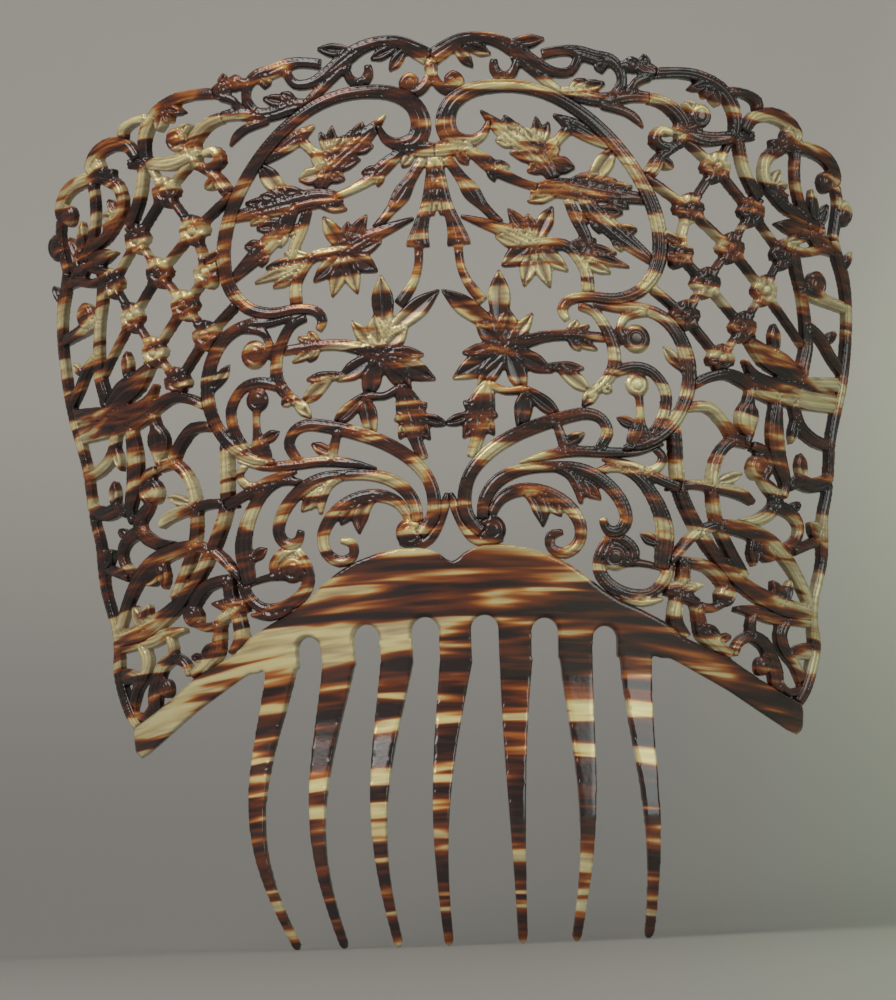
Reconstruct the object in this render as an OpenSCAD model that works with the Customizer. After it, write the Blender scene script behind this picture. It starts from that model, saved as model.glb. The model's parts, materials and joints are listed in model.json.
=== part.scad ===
// Tall pierced hair comb: a scrolled heading, a plain saddle band and seven bowed teeth.
// Millimetres, +Z up, front towards -Y. The origin is on the front face at the tooth roots.
// Each outline is drawn as a front view. A point is [x, z] or [x, z, width].

/* [Sheet] */
// thickness of the sheet
sheet = 3; // [2:0.1:4]
// radius of the bend at the tooth roots
bend_r = 122; // [105:1:150]
// lean of the heading towards the front, in degrees
flare = 8.5; // [4:0.5:11]

/* [Heading] */
// width of the heading from wing to wing
heading_w = 224; // [212:1:236]
// height of the heading above the tooth roots
heading_h = 151; // [145:1:158]
// extra width on every scroll and stem
stroke_add = 0; // [-0.4:0.1:0.6]
// width of a lattice bar
lattice_bar = 1.8; // [1.4:0.1:2.8]
// radius of a lattice rosette
rosette_r = 4.4; // [3.4:0.1:5.4]
// radius of the shoulder knob
knob_r = 3.6; // [2.6:0.1:4.4]

/* [Teeth] */
// height at which a tooth leaves the band
tooth_top = -12; // [-16:1:-11]
// length of a tooth below the band
tooth_l = 76; // [50:1:95]
// width of a tooth at its root
tooth_root_w = 8.8; // [7:0.1:10]
// width of a tooth near its tip
tooth_tip_w = 2.6; // [2:0.1:4]
// distance between tooth centres at the roots
tooth_pitch = 16; // [14.5:0.1:16.5]
// how far a tooth bows out at half its length
tooth_bow = 7; // [0:0.5:12]
// how far a tooth tip turns in
tooth_tuck = 9; // [0:0.5:14]

/* [Hidden] */
teeth = 7;
side_turn = 42;            // direction in which the outer parts are cut, in degrees
heading_wide = heading_w / 224;
heading_tall = heading_h / 151;
bottom_z = -44;
top_z = 158 * heading_tall;
// how far each tooth stands out of line at half its length, and at its tip
tooth_drift = [[-6.9, -1.5], [-4.8, -3.4], [-4, -3.4], [-2.7, -4.8], [-1.3, 0], [1.6, -0.9], [-0.3, 4.2]];
amber = [0.62, 0.30, 0.10];
dark = [0.20, 0.09, 0.05];
honey = [0.82, 0.66, 0.36];

// ---- drawing in the flat ----------------------------------------------------

function cone_r(z) = bend_r + z * tan(flare);

// a drawn point at its real size
function sized(p) = [p.x * heading_wide, p.y * heading_tall, len(p) > 2 ? p.z : 0];

// a point of the front view as it is seen from the direction turned by `a` degrees
function seen(p, a) = a == 0 ? p :
    let (r = cone_r(p.y), x = min(p.x, r * 0.985)) [x * cos(a) - sqrt(r * r - x * x) * sin(a), p.y, p.z];

function drawn(points, a) = [for (p = points) seen(sized(p), a)];

function spline(a, b, c, d, t) =
    0.5 * (2 * b + (c - a) * t + (2 * a - 5 * b + 4 * c - d) * t * t + (3 * b - a - 3 * c + d) * t * t * t);

// a smooth run through the points, with `n` steps from each to the next
function smooth(p, n) = [for (i = [0:len(p) - 2]) for (k = [0:n - 1])
    spline(p[max(i - 1, 0)], p[i], p[i + 1], p[min(i + 2, len(p) - 1)], k / n), p[len(p) - 1]];

function across(p, i) =
    let (a = p[max(i - 1, 0)], b = p[min(i + 1, len(p) - 1)], d = [b.x - a.x, b.y - a.y])
    [-d.y, d.x] / max(norm(d), 0.001);

// one tapering stroke; the third number of each point is its width there
module stroke(points, a = 0, n = 3) {
    s = smooth(drawn(points, a), n);
    w = [for (p = s) max(p.z + stroke_add, 0.5) / 2];
    for (i = [0:len(s) - 2]) {
        p = [s[i].x, s[i].y];
        q = [s[i + 1].x, s[i + 1].y];
        u = across(s, i);
        v = across(s, i + 1);
        polygon([p + u * w[i], p - u * w[i], q - v * w[i + 1], q + v * w[i + 1]]);
    }
}

// a leaf from its foot to its tip, `w` wide, bowed sideways by `bow`
module leaf(foot, tip, w, a = 0, bow = 0) {
    side = [-(tip.y - foot.y), tip.x - foot.x] / norm(tip - foot) * bow;
    stroke([[foot.x, foot.y, w * 0.45], concat(foot * 0.68 + tip * 0.32 + side * 0.9, [w * 0.9]),
        concat(foot * 0.34 + tip * 0.66 + side * 0.9, [w]), [tip.x, tip.y, 0.5]], a, 3);
}

// leaves that fan from one foot; each is [tip x, tip z, width]
module fan(foot, leaves, a = 0) {
    for (l = leaves) leaf(foot, [l.x, l.y], l.z, a);
}

module disc(c, r, a = 0) {
    p = seen(sized(c), a);
    translate([p.x, p.y]) circle(r, $fn = 20);
}

// a rosette with four lobes
module rosette(c, a = 0) {
    p = seen(sized(c), a);
    polygon([for (k = [0:15]) let (t = k * 22.5,
        r = rosette_r * (k % 4 == 0 ? 1 : k % 2 == 0 ? 0.62 : 0.9))
        [p.x + r * cos(t), p.y + r * sin(t)]]);
}

// joins what is drawn
module joined() {
    offset(delta = -0.01) offset(delta = 0.01) children();
}

// the first shape without the others, which it meets edge to edge
module beside() {
    offset(delta = 0.05) offset(delta = -0.05)
    difference() {
        children(0);
        children([1:$children - 1]);
    }
}

module right_half() {
    difference() {
        children();
        translate([-60, -60]) square([60, 260]);
    }
}

// ---- the bent sheet ---------------------------------------------------------

module shell() {
    t = sheet / cos(flare);
    translate([0, bend_r, 0])
    rotate_extrude($fn = 240)
    polygon([[cone_r(bottom_z) - t, bottom_z], [cone_r(bottom_z), bottom_z],
        [cone_r(top_z), top_z], [cone_r(top_z) - t, top_z]]);
}

// an outline cut through from the front, or from `a` degrees to the side
module prism(a = 0) {
    translate([0, bend_r, 0]) rotate([0, 0, a]) rotate([90, 0, 0])
    linear_extrude(height = cone_r(top_z) + 10) children();
}

module pierced() {
    intersection() {
        shell();
        prism() children();
    }
}

// an outer part: cut from the side, and against the middle parts it meets
module side_pierced() {
    difference() {
        intersection() {
            shell();
            prism(side_turn) children(0);
        }
        if ($children > 1) prism() children(1);
    }
}

// ---- outlines: the middle ---------------------------------------------------

// upper and lower edge of the band, from the middle out
band_top = [[0, 14.2], [1.2, 14.6], [3, 16.2], [6, 17.6], [9.5, 18.2], [14, 18.2], [20, 17.1], [26, 15.2],
    [31, 12.6], [35.5, 9.3], [39.5, 5.8], [44.5, 2.6], [50, 0.2], [56, -3], [60, -6.6], [66, -9.6],
    [73, -12.6], [80, -17.6], [86, -21.2], [92.3, -24.4]];
band_low = [[92.8, -27], [92.4, -31.5], [90.8, -33.2], [88, -32], [80, -26.8], [72, -21.4], [64, -16.8],
    [59.5, -14.2], [56.5, -12.6], [54.2, -12.6]];
band_half_w = 52.6;        // half the width of the band where the outer teeth leave it

module band_outline() {
    right = concat(band_top, band_low, [[band_half_w, tooth_top]]);
    half = [for (p = right) [p.x * heading_wide, p.y > 0 ? p.y * heading_tall : p.y]];
    polygon(concat(half, [for (i = [len(half) - 1:-1:0]) [-half[i].x, half[i].y]]));
}

module oval_outline() {
    joined() right_half() {
        stroke([[14.6, 128, 1.2], [13, 124.6, 2.4], [9.5, 122.8, 3.2], [5, 123.6, 5], [3.2, 127.4, 5.4],
            [4.8, 132.4, 4.6], [9.5, 135.6, 3.8], [16, 136.8, 3.4], [24, 136.4, 3.2], [32, 133.8, 3.2],
            [40, 128.8, 3.4], [47, 122.2, 3.6], [53, 114, 3.7], [57, 105, 3.9], [58.3, 96.5, 4],
            [56.6, 89, 3.7], [52.2, 83.8, 3.2], [46, 81.7, 2.9], [39, 82.2, 2.6], [33.8, 81.4, 2.6],
            [31.8, 78.8, 2.8], [33, 76.2, 2]]);
        stroke([[-1, 120.8, 3.6], [4, 121.2, 4], [9, 121.6, 3.2]]);
        stroke([[8, 121.4, 2], [13.5, 117.2, 4], [17.5, 114.2, 3], [22.5, 111.8, 2.2], [26.5, 110.6, 2]]);
        fan([14, 117], [[19.6, 116, 2.4], [15.4, 112.2, 2.6]]);
        leaf([5.5, 120.6], [8.8, 116.8], 2.8);
        leaf([58, 100], [64, 96.5], 2.6);
    }
}

module middle_scroll_outline() {
    joined() {
        stroke([[36, 79.8, 2], [40.2, 78.2, 2.6], [43.2, 73.8, 3], [44.9, 68.6, 3.2], [44.7, 63.6, 3.4],
            [42.2, 60, 3], [38.6, 57, 2.4]]);
        stroke([[40, 80.5, 2.2], [46, 79.4, 2.6], [52, 79.4, 3], [58, 77.2, 3.4], [62.2, 72.6, 3.7],
            [64.5, 66, 3.9], [64.4, 59, 3.7], [62, 52.6, 3.4], [58, 47.6, 3.6], [52.5, 44.2, 3.2],
            [46.5, 42.6, 1.6]]);
        stroke([[44, 62.4, 3], [50, 64, 2.8], [55, 62.6, 2.8], [58.2, 57.6, 3], [57.4, 51.4, 3],
            [54.6, 46.6, 3]]);
        stroke([[54, 78.6, 2.6], [48.8, 77.4, 2.4], [46.6, 73.8, 2], [48, 70.4, 2.4]]);
        disc([50.8, 71.4], 3.7);
        disc([50.6, 59.4], 3.1);
        stroke([[50.6, 60, 3], [51.2, 55, 2], [51.2, 50, 2.6], [50.6, 47, 5], [48.6, 43.6, 3.4]]);
        leaf([50.5, 48.5], [45, 50.6], 3);
        leaf([63, 63.5], [58, 69.4], 3.2);
        fan([41, 59.5], [[36, 53.6, 3.4], [44, 57.4, 3]]);
    }
}

module pendant_outline() {
    beside() {
        joined() for (s = [0, 1]) mirror([s, 0]) {
            stroke([[0.4, 119.4, 3], [1.4, 113, 2.8], [2.8, 106.6, 2.8], [4.4, 101.4, 4], [5.2, 98, 5.6],
                [5.4, 96.2, 6.4]]);
            stroke([[5.2, 96.4, 2.2], [5.6, 91, 2.2], [7.6, 86, 2.6], [11.2, 81.4, 3]]);
            stroke([[3, 118.8, 2.6], [6.6, 113.6, 3], [9.2, 109.8, 4.6], [12.4, 105.8, 2.6],
                [16.4, 101.4, 2.4]]);
            leaf([1.5, 119], [-1, 104], 2);
        }
        for (s = [0, 1]) mirror([s, 0]) {
            oval_outline();
            upper_blossom_outline();
            lower_blossom_outline();
        }
    }
}

module upper_blossom_outline() {
    beside() {
        joined() {
            disc([25, 95.6], 3.6);
            fan([25, 96], [[18.6, 105.2, 3.8], [23.8, 103.8, 3.4], [30.4, 105.6, 4.2],
                [16.4, 90.4, 4.6], [22, 85, 4.2],
                [28.8, 84.6, 4.2], [33.8, 88.8, 4], [15, 98, 4.4]]);
            stroke([[6.2, 103.6, 0.8], [12, 101.6, 2.6], [19, 99, 3.8], [25, 96, 4]]);
            stroke([[25, 96, 3.6], [33, 95.6, 3], [36.6, 92, 2.8], [38.6, 88, 3.2], [38.6, 83, 3.6]]);
            fan([33.5, 95], [[41.6, 97, 3], [46.8, 93.6, 3.4], [50, 90, 3]]);
            leaf([37, 91.5], [45, 88.4], 2.8);
            stroke([[34.4, 107.6, 2.6], [36.2, 103, 3.2], [38.4, 98.6, 3], [39.6, 95.4, 2.6]]);
            leaf([35.6, 104], [40.6, 101.6], 2.6);
        }
        oval_outline();
        leaf_branch_outline();
    }
}

module lower_blossom_outline() {
    beside() {
        joined() {
            disc([17, 69], 4);
            fan([17, 69], [[5, 68.2, 4], [2.2, 61.6, 5.6], [8.6, 58.6, 4.8], [21, 57.2, 5],
                [28.6, 62.6, 4.8],
                [24, 78, 3.6], [17.6, 79.4, 5.4], [9, 76, 5]]);
            leaf([14.6, 74], [0.3, 84.8], 5);
            leaf([15.2, 74], [15.6, 89.4], 5.6);
            stroke([[17, 69, 4], [26, 71.8, 3], [34, 72.2, 2.6], [43, 71.6, 2.4]]);
            fan([33, 72], [[35.8, 76.2, 2.8], [38.8, 74.8, 2.4], [40.6, 68.4, 2.6], [36, 68.2, 2.6]]);
            leaf([27, 64.2], [37, 63.6], 3);
            leaf([30, 64], [38.6, 57.4], 4);
        }
        middle_scroll_outline();
        bellflower_outline();
    }
}

module bellflower_outline() {
    beside() {
        joined() {
            stroke([[11.6, 60.6, 2.6], [10, 56, 6.6], [8.8, 51, 7.6], [8.4, 47, 3.8], [6.4, 41, 3]]);
            fan([8.8, 53], [[4.4, 46, 3.4], [12.6, 46.6, 3.4], [4.8, 55.6, 3], [13.8, 51.6, 3.2]]);
            leaf([8, 52.4], [-0.6, 49.8], 3);
            leaf([19.6, 47.6], [21.4, 58.6], 4.6);
            leaf([21, 58.6], [30.4, 51], 4);
            stroke([[11.4, 60.2, 2.4], [16, 58, 2], [21, 58.4, 2.2]]);
        }
        acanthus_outer_outline();
        translate([-60, 0]) square([60, 200]);
    }
}

module spray_outline() {
    beside() {
        joined() {
            disc([29.4, 117], 3.6);
            stroke([[12.4, 130.6, 0.6], [17, 126.2, 3.8], [22.8, 121.6, 4.4], [28, 117.4, 4.4],
                [31, 112.6, 3.4]]);
            fan([22.5, 122], [[18.6, 129.2, 3.4], [22, 127.2, 3], [16, 122.8, 3.2]]);
            fan([29.4, 117], [[19.6, 119.6, 3], [24, 114.6, 3.6], [26.4, 124, 3.6], [32, 123.6, 4],
                [36.6, 115.6, 4.4]]);
            fan([27.6, 121], [[23.6, 126, 2.8], [26.9, 128.8, 2.8], [30.2, 127.4, 2.6]]);
            stroke([[31.4, 129.2, 0.8], [36, 126.6, 4], [41, 123.8, 3.8], [46, 121.4, 2.4]]);
            stroke([[30, 119, 2.6], [32.6, 122.8, 2.4], [36, 126.4, 3]]);
        }
        oval_outline();
        leaf_branch_outline();
    }
}

module leaf_branch_outline() {
    beside() {
        joined() {
            stroke([[24.6, 109.6, 3], [31, 110.4, 5], [39, 109.6, 5.2], [47, 108.6, 4],
                [57, 107.6, 2.6]]);
            fan([33, 110], [[23.8, 106.8, 3.4], [43, 113.8, 4]]);
            fan([42, 110], [[47.4, 112.6, 3.4], [51.6, 111, 3], [50.4, 105.2, 3]]);
            leaf([40, 111], [47.4, 121], 4.8);
            stroke([[38, 109, 3], [40.6, 104.6, 4.6], [46, 99.6, 5], [51, 95.6, 4.2], [56.4, 91.4, 2.4]]);
            fan([41, 104.6], [[42.2, 98.6, 3.4], [48.8, 104, 3.4]]);
            fan([46.5, 99.4], [[47.8, 94, 3.4], [52.4, 99.8, 3.4]]);
        }
        oval_outline();
    }
}

module acanthus_outer_outline() {
    beside() {
        joined() {
            stroke([[8.4, 21.4, 3], [4.6, 25.8, 3.6], [4.1, 31.4, 3.6], [6, 37, 3.4], [10.6, 42, 3.6],
                [17, 46, 3.6],
                [24, 48.8, 3.6], [31, 50.8, 3.4], [37, 51.8, 3.1], [41, 50.3, 2.9], [42.4, 46.6, 2.9],
                    [40, 42.6, 2.4]]);
            stroke([[29, 49.6, 2.2], [30.2, 45.6, 2.6], [31, 42, 2.4]]);
            leaf([30.4, 43.6], [36.4, 46.8], 3);
            stroke([[18.8, 39.2, 0.6], [26, 41, 2.4], [34, 42, 2.8], [42, 41.6, 2.7], [50, 42, 2.4],
                [56.5, 45, 3]]);
        }
        middle_scroll_outline();
    }
}

module acanthus_middle_outline() {
    beside() {
        joined() {
            stroke([[8.6, 24.8, 3], [9.4, 30, 3.3], [13.2, 34.8, 3.5], [19.4, 37.4, 3], [27, 38, 2.8],
                [34.5, 37.4, 3.2],
                [40.5, 34.4, 3.5], [45, 29.4, 3.5], [46.5, 24.2, 3.3], [44.4, 21, 3], [41.4, 21.4, 2.8],
                [40.2, 24.4, 2]]);
            stroke([[28, 38, 2.4], [32, 36, 2.8], [34.2, 32.4, 3], [34.6, 28.2, 1]]);
            fan([34, 35], [[40, 29.2, 3.6], [37.4, 29.6, 2.6]]);
        }
        acanthus_outer_outline();
    }
}

module acanthus_inner_outline() {
    beside() {
        joined() {
            stroke([[10.6, 25.4, 2.4], [13.6, 30, 3], [19, 32.2, 3.4], [25.5, 31.3, 3.6],
                [31, 28, 3.6], [34.2, 23, 3.3],
                [33.6, 18, 3], [29.9, 15.4, 2.9], [26.4, 16.8, 2.6], [26.4, 20, 2.6], [29.6, 21, 1.4]]);
            leaf([20, 31.8], [24.4, 22.4], 4.2, 0, 1.6);
            leaf([25, 31], [29.4, 25], 3.2);
            disc([10.8, 22], 3.8);
            stroke([[13.6, 19.8, 1.8], [9.4, 18.6, 2.2], [5.4, 20.2, 2.4], [2.6, 24.6, 2.2],
                [1, 29.6, 2.4],
                [0.4, 32, 1.2]]);
        }
        acanthus_outer_outline();
        acanthus_middle_outline();
        band_outline();
        translate([-60, 0]) square([60, 200]);
    }
}

module acanthus_wing_outline() {
    beside() {
        joined() {
            stroke([[38.6, 36.4, 1.6], [45, 37.8, 2.8], [50.4, 34.8, 3.2], [54.6, 28.6, 4],
                [56.6, 21.6, 4.8],
                [56, 15.6, 4.8], [55.4, 11, 4]]);
            leaf([55, 17.5], [50, 20.2], 3.2);
            stroke([[40.6, 40.2, 1.6], [49, 38, 2.4], [55.4, 34.8, 2.8], [61.4, 32.4, 2.8]]);
            stroke([[44, 38.8, 2.6], [47, 37.4, 3]]);
            stroke([[49.4, 36.6, 2.4], [54.6, 37.2, 2.4], [56.8, 40.2, 2.2], [54.8, 42.8, 2.2]]);
        }
        acanthus_outer_outline();
        acanthus_middle_outline();
    }
}

module ring_scroll_outline() {
    beside() {
        joined() {
            stroke([[42.6, 20.4, 2.2], [39.6, 15.8, 3], [38.8, 10.8, 3.5], [41.4, 6.8, 3.6],
                [46.4, 4.4, 3.2],
                [52, 4.6, 2.7], [56, 8, 3.2], [57.4, 12.4, 3]]);
            disc([43, 14.2], 3.6);
            stroke([[42, 19.8, 2], [46, 18.6, 2.6], [48.4, 15.6, 2.6], [47.6, 12.6, 2.2]]);
            stroke([[43, 12.4, 2.4], [49.4, 12.6, 2], [55, 11.4, 1.6]]);
            stroke([[44, 3.6, 2.4], [50, 2.2, 2.4], [55.4, 3, 0.8]]);
        }
        acanthus_middle_outline();
        acanthus_wing_outline();
        band_outline();
    }
}

module crest_leaf_outline() {
    beside() {
        joined() right_half() {
            stroke([[-0.5, 144, 4.6], [3.4, 146.4, 4.2], [8, 148.8, 3.4], [13, 149.4, 2.8],
                [18, 148.2, 3.4], [22.6, 145.6, 4.2],
                [27, 142.6, 3.6], [32, 140.2, 2.6], [36.4, 140.4, 2.4], [38.6, 143.6, 2.4]]);
            leaf([20, 147.2], [30, 148.8], 3.4);
            leaf([6.5, 147], [11, 141.8], 3);
            leaf([9, 147.6], [15.8, 145], 3);
            stroke([[21.5, 144.6, 2.4], [26.6, 140.6, 2.6], [30.8, 137.2, 2.6], [34, 134.4, 2.6]]);
            stroke([[29, 144.8, 2.6], [35, 145.8, 2.6], [38.8, 145.2, 3.6], [43, 144, 3.8],
                [47, 143.4, 3.4], [49.4, 140.8, 2.8],
                [49.6, 137.2, 2.6], [47.6, 134.2, 3]]);
            leaf([44, 143.4], [44.6, 140], 3.4);
            stroke([[30, 134.6, 2], [37, 134.6, 4], [44, 133.2, 3.6], [52, 134.4, 3.2],
                [57, 134.2, 2.6]]);
            fan([36, 135], [[40.4, 138.4, 3.4], [45.4, 137.6, 3.4]]);
            stroke([[44, 132, 2.6], [50, 130.4, 2.4], [53, 128.6, 2.4], [54.8, 126.4, 0.8]]);
            disc([52.6, 142.4], 2.2);
            stroke([[49.4, 142, 2.2], [52.6, 142.4, 2.6], [56, 141.4, 4.4], [59, 140.6, 3]]);
            leaf([56, 141], [56, 145.4], 3);
            stroke([[52, 135, 2.6], [53.6, 138, 2.2], [57, 139.6, 2.4]]);
            stroke([[16.6, 143.6, 1.8], [16.6, 141, 2.8], [18.6, 139, 2.8], [21.4, 140.2, 2.4],
                [22.6, 143.4, 2]]);
            stroke([[18.6, 140, 3.4], [18.4, 137.2, 3]]);
        }
        oval_outline();
        finial_outline();
    }
}

module finial_outline() {
    beside() {
        joined() for (s = [0, 1]) mirror([s, 0]) {
            stroke([[0.3, 142.6, 2.6], [0.6, 139.4, 2.6], [3, 136.4, 2.6], [6.2, 136, 2.6],
                [7.6, 138.4, 2.2],
                [5.6, 140, 2.2], [3.8, 138.6, 1.6]]);
            disc([5.4, 138.6], 1.9);
            leaf([0, 139], [0, 145], 3.4);
        }
        for (s = [0, 1]) mirror([s, 0]) oval_outline();
    }
}

// ---- outlines: the sides, seen from side_turn -------------------------------

S = side_turn;

module shoulder_arch_outline() {
    beside() {
        joined() {
            stroke([[57, 140.2, 3.2], [62, 140.8, 2.8], [68, 141, 2.8], [73.4, 139.6, 3],
                [77.6, 136.8, 3.2],
                [80, 132.6, 3.2], [80.4, 128.4, 3], [79.6, 125.2, 3]], S);
            stroke([[56, 134.2, 2.6], [61, 133.2, 2.8], [64.8, 130.4, 3], [66.6, 126.6, 3],
                [65, 122.6, 2.6]], S);
            stroke([[64, 126.4, 2.6], [68, 125, 3.4], [73, 124.2, 3.8], [79, 125.2, 3.2],
                [85, 126, 2.6]], S);
            disc([70.4, 130], 3.3, S);
            stroke([[66.6, 126.4, 2.8], [69, 127.6, 3], [70.4, 130, 3.4]], S);
            leaf([70.4, 131], [66.8, 133.6], 2.8, S);
            fan([74, 139], [[68.4, 137, 2.8], [72.2, 134.8, 3], [75.8, 133, 3]], S);
            stroke([[65.4, 122.6, 2.4], [61.6, 121.4, 2.6], [58.8, 123, 2.4], [60, 125.8, 2.4],
                [63, 125.2, 2]], S);
            stroke([[65, 122.6, 2.4], [60, 119, 2.4], [58.4, 116.4, 3], [56.6, 114, 3]], S);
            leaf([60, 118.6], [62.8, 115.8], 2.6, S);
            stroke([[78.6, 137, 2.6], [83, 137, 2.2], [86.4, 135.2, 2.6], [86.4, 132, 2.6]], S);
            stroke([[80.8, 125.4, 2.8], [81.8, 119, 2.8], [83.6, 114, 2.8], [86, 109.6, 2.8]], S);
        }
        shoulder_scroll_outline();
    }
}

module shoulder_scroll_outline() {
    joined() {
        stroke([[82.4, 127, 3.2], [85.2, 130.8, 3.6], [90, 132.2, 3.8], [94.6, 130.8, 3.8],
            [97.2, 127.4, 3.6],
            [95.6, 125.6, 3.4]], S);
        disc([94.4, 126.8], 2.4, S);
        stroke([[89.6, 124, 3.4], [95, 124.6, 3.8], [101, 124.4, 3.6], [105.6, 122.4, 3.8],
            [107.8, 118.2, 3.8],
            [106.4, 114.6, 3.8]], S);
        disc([104.8, 116.4], 3, S);
        stroke([[92.6, 123.6, 3.6], [88.8, 120.8, 3.6], [87.6, 116.4, 3.2], [89.4, 112.6, 3.4],
            [93.4, 110, 3.2]], S);
        fan([89, 112.6], [[91.8, 118, 2.8], [94, 114, 2.8]], S);
        stroke([[96.6, 123, 2.8], [96.2, 115.6, 2.8], [97.6, 109, 2.8], [100.4, 103.6, 2.8]], S);
        stroke([[88.6, 112.8, 2.4], [92.8, 108.6, 3], [98, 106, 2.6], [102, 103.6, 2.8]], S);
        disc([109.6, 108.8], knob_r, S);
        stroke([[107.2, 117, 3], [108.2, 112, 3], [107.4, 106, 3.2], [106.4, 101, 3]], S);
    }
}

module lattice_outline() {
    nodes = [[74.6, 117], [67, 105.8], [83.8, 106.2], [77.8, 96.2], [70.8, 86.6], [92, 95.6],
        [86.6, 85.6],
        [64.8, 77.8], [80.4, 75.6], [74, 66.6], [63.6, 94.2]];
    bars = [[0, 1], [0, 2], [1, 3], [2, 3], [2, 5], [3, 4], [3, 6], [4, 7], [4, 8], [5, 6], [6, 8],
        [7, 9], [8, 9],
        [1, 10], [4, 10]];
    ends = [[0, [66, 124.4]], [0, [79, 124.6]], [1, [55.4, 114]], [10, [59.4, 96.4]], [7, [55, 86]],
        [6, [97.4, 71]], [8, [85, 69.6]], [9, [75, 63.4]], [7, [63.2, 75.4]], [2, [86.4, 109.8]],
            [5, [96.4, 92]]];
    beside() {
        joined() {
            for (p = nodes) rosette(p, S);
            for (b = bars) stroke([concat(nodes[b[0]], [lattice_bar]), concat(nodes[b[1]],
                [lattice_bar])], S, 1);
            for (e = ends) stroke([concat(nodes[e[0]], [lattice_bar]), concat(e[1], [lattice_bar])],
                S, 1);
        }
        shoulder_scroll_outline();
        shoulder_arch_outline();
        palmette_outline();
        cross_scroll_outline();
    }
}

module rim_outline() {
    joined() {
        stroke([[106.6, 101.6, 3], [107.6, 97, 3.6], [109.2, 92, 3.8], [110, 85, 3.4],
            [109.8, 78, 3.4], [109, 70, 3.6],
            [107.6, 62, 4], [105.6, 54, 3.6], [104, 47, 3.2], [103.4, 40, 3.2], [102.6, 33, 3.2],
                [101.2, 27, 3.4],
            [100.8, 21, 4], [100.6, 15, 3.4], [99.2, 9, 3.2], [97.6, 3, 3.2], [97.2, -3, 3.4],
                [97.6, -9, 4.4],
            [96.4, -15, 4.6], [94.2, -21, 4.4], [91.6, -25, 3.6]], S);
        leaf([108.6, 93], [111.6, 99], 3, S);
        stroke([[91.6, 33.6, 2.4], [94.4, 35.4, 4], [98, 34.6, 4], [102.6, 36, 4.4]], S);
        leaf([95.6, 35.4], [95, 43], 4, S);
        leaf([100.8, 20], [97, 24.6], 4.4, S);
    }
}

module palmette_outline() {
    beside() {
        joined() {
            fan([101.6, 102.4], [[90.4, 103.8, 4], [100.6, 114, 3.4], [105, 110.6, 3.4], [93, 99, 3]], S);
            disc([101.6, 102.6], 3.4, S);
            stroke([[92.6, 97.8, 2.4], [98, 96.8, 2.4], [103.6, 98.6, 3], [107.6, 98.2, 3]], S);
            stroke([[102, 102.6, 3], [104.4, 99.4, 3]], S);
            stroke([[95, 97, 3.4], [95.8, 91.6, 3.4], [97, 85.8, 3], [97.8, 79, 3.4], [98, 72, 4],
                [96.6, 66, 4.4], [96, 61, 4]], S);
            disc([101, 88.4], 3.9, S);
            stroke([[97, 87, 3], [101, 85.6, 3.6], [105.4, 84.4, 3], [109.6, 83.6, 3]], S);
            stroke([[98, 77.6, 2.6], [101.8, 74.6, 3], [105, 69.6, 3], [108, 66, 3]], S);
            leaf([103, 72.8], [106.4, 76.8], 3, S);
        }
        rim_outline();
        shoulder_scroll_outline();
        cross_scroll_outline();
    }
}

module cross_scroll_outline() {
    beside() {
        joined() {
            stroke([[66, 59.4, 2.6], [70.6, 61.8, 2.8], [76, 62.8, 3], [81, 60.8, 3.4], [87, 57.8, 4],
                [96, 57.4, 5],
                [106.6, 57.2, 5]], S);
            stroke([[80.4, 67, 0.8], [83.4, 62.6, 3], [90, 60.8, 3.4], [98, 61.8, 3.6],
                [107.6, 62.6, 4]], S);
            stroke([[81.6, 72.4, 2.2], [86, 68.4, 5.6], [91, 66, 6.6], [95.4, 62.6, 4.4]], S);
            leaf([89, 69], [88.8, 77], 3.6, S);
            stroke([[82, 59.4, 2.6], [81.2, 55.8, 3.4], [80.8, 53.6, 6.6], [80.6, 50.2, 7],
                [80.8, 46.6, 2.6],
                [79.8, 44.4, 2.4]], S);
            stroke([[89, 57, 3.4], [88.2, 49, 5.6], [88.8, 41.6, 5.4], [90.6, 35, 3.6], [89.6, 31, 3]],
                S);
            stroke([[93.6, 57, 3.4], [95.2, 50.4, 3.6], [99.4, 46.8, 3.2], [104.4, 45.6, 3]], S);
            leaf([94.4, 53], [92.6, 45.4], 3, S);
        }
        rim_outline();
    }
}

module lens_frame_outline() {
    beside() {
        joined() {
            stroke([[64, 53.6, 2.8], [70, 54, 2.8], [74.2, 50.2, 2.8], [76.6, 46, 3]], S);
            stroke([[60.6, 50, 3], [61, 45, 3], [61.2, 38, 3], [61.8, 32, 3], [64, 26, 3.1],
                [67.2, 20, 3.1], [71.2, 14, 3.1],
                [76, 8.6, 3.6], [82, 4.4, 4.4], [89, 1.2, 5], [97, 0, 4]], S);
            stroke([[81, 44.8, 3], [76.4, 45.2, 3.2], [72.6, 41.6, 3], [70.8, 36, 3], [70.6, 29.4, 3],
                [71.6, 23, 3],
                [74.4, 16.4, 3], [78.4, 9, 3]], S);
            stroke([[57.6, 12.6, 2.6], [60.6, 15.4, 2.4], [65, 20, 2.8], [71, 22.6, 3.2],
                [79, 21.6, 4.2], [86, 18.6, 4.2],
                [91, 13.2, 3.8], [94.6, 6.6, 3.6], [97, 1, 3.4]], S);
            stroke([[58.6, 32.8, 2.4], [66, 33.4, 2.6], [72, 32.6, 2.8], [78, 31.4, 3.2],
                [81.4, 29, 1.6]], S);
            leaf([71.4, 34], [78.6, 36.6], 3, S);
            leaf([81.5, 20.5], [81, 12], 4, S);
            leaf([82, 17], [87, 14], 4, S);
            fan([89, 1], [[86, 8.4, 4], [91, 8.8, 3.6]], S);
        }
        rim_outline();
        cross_scroll_outline();
    }
}

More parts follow.
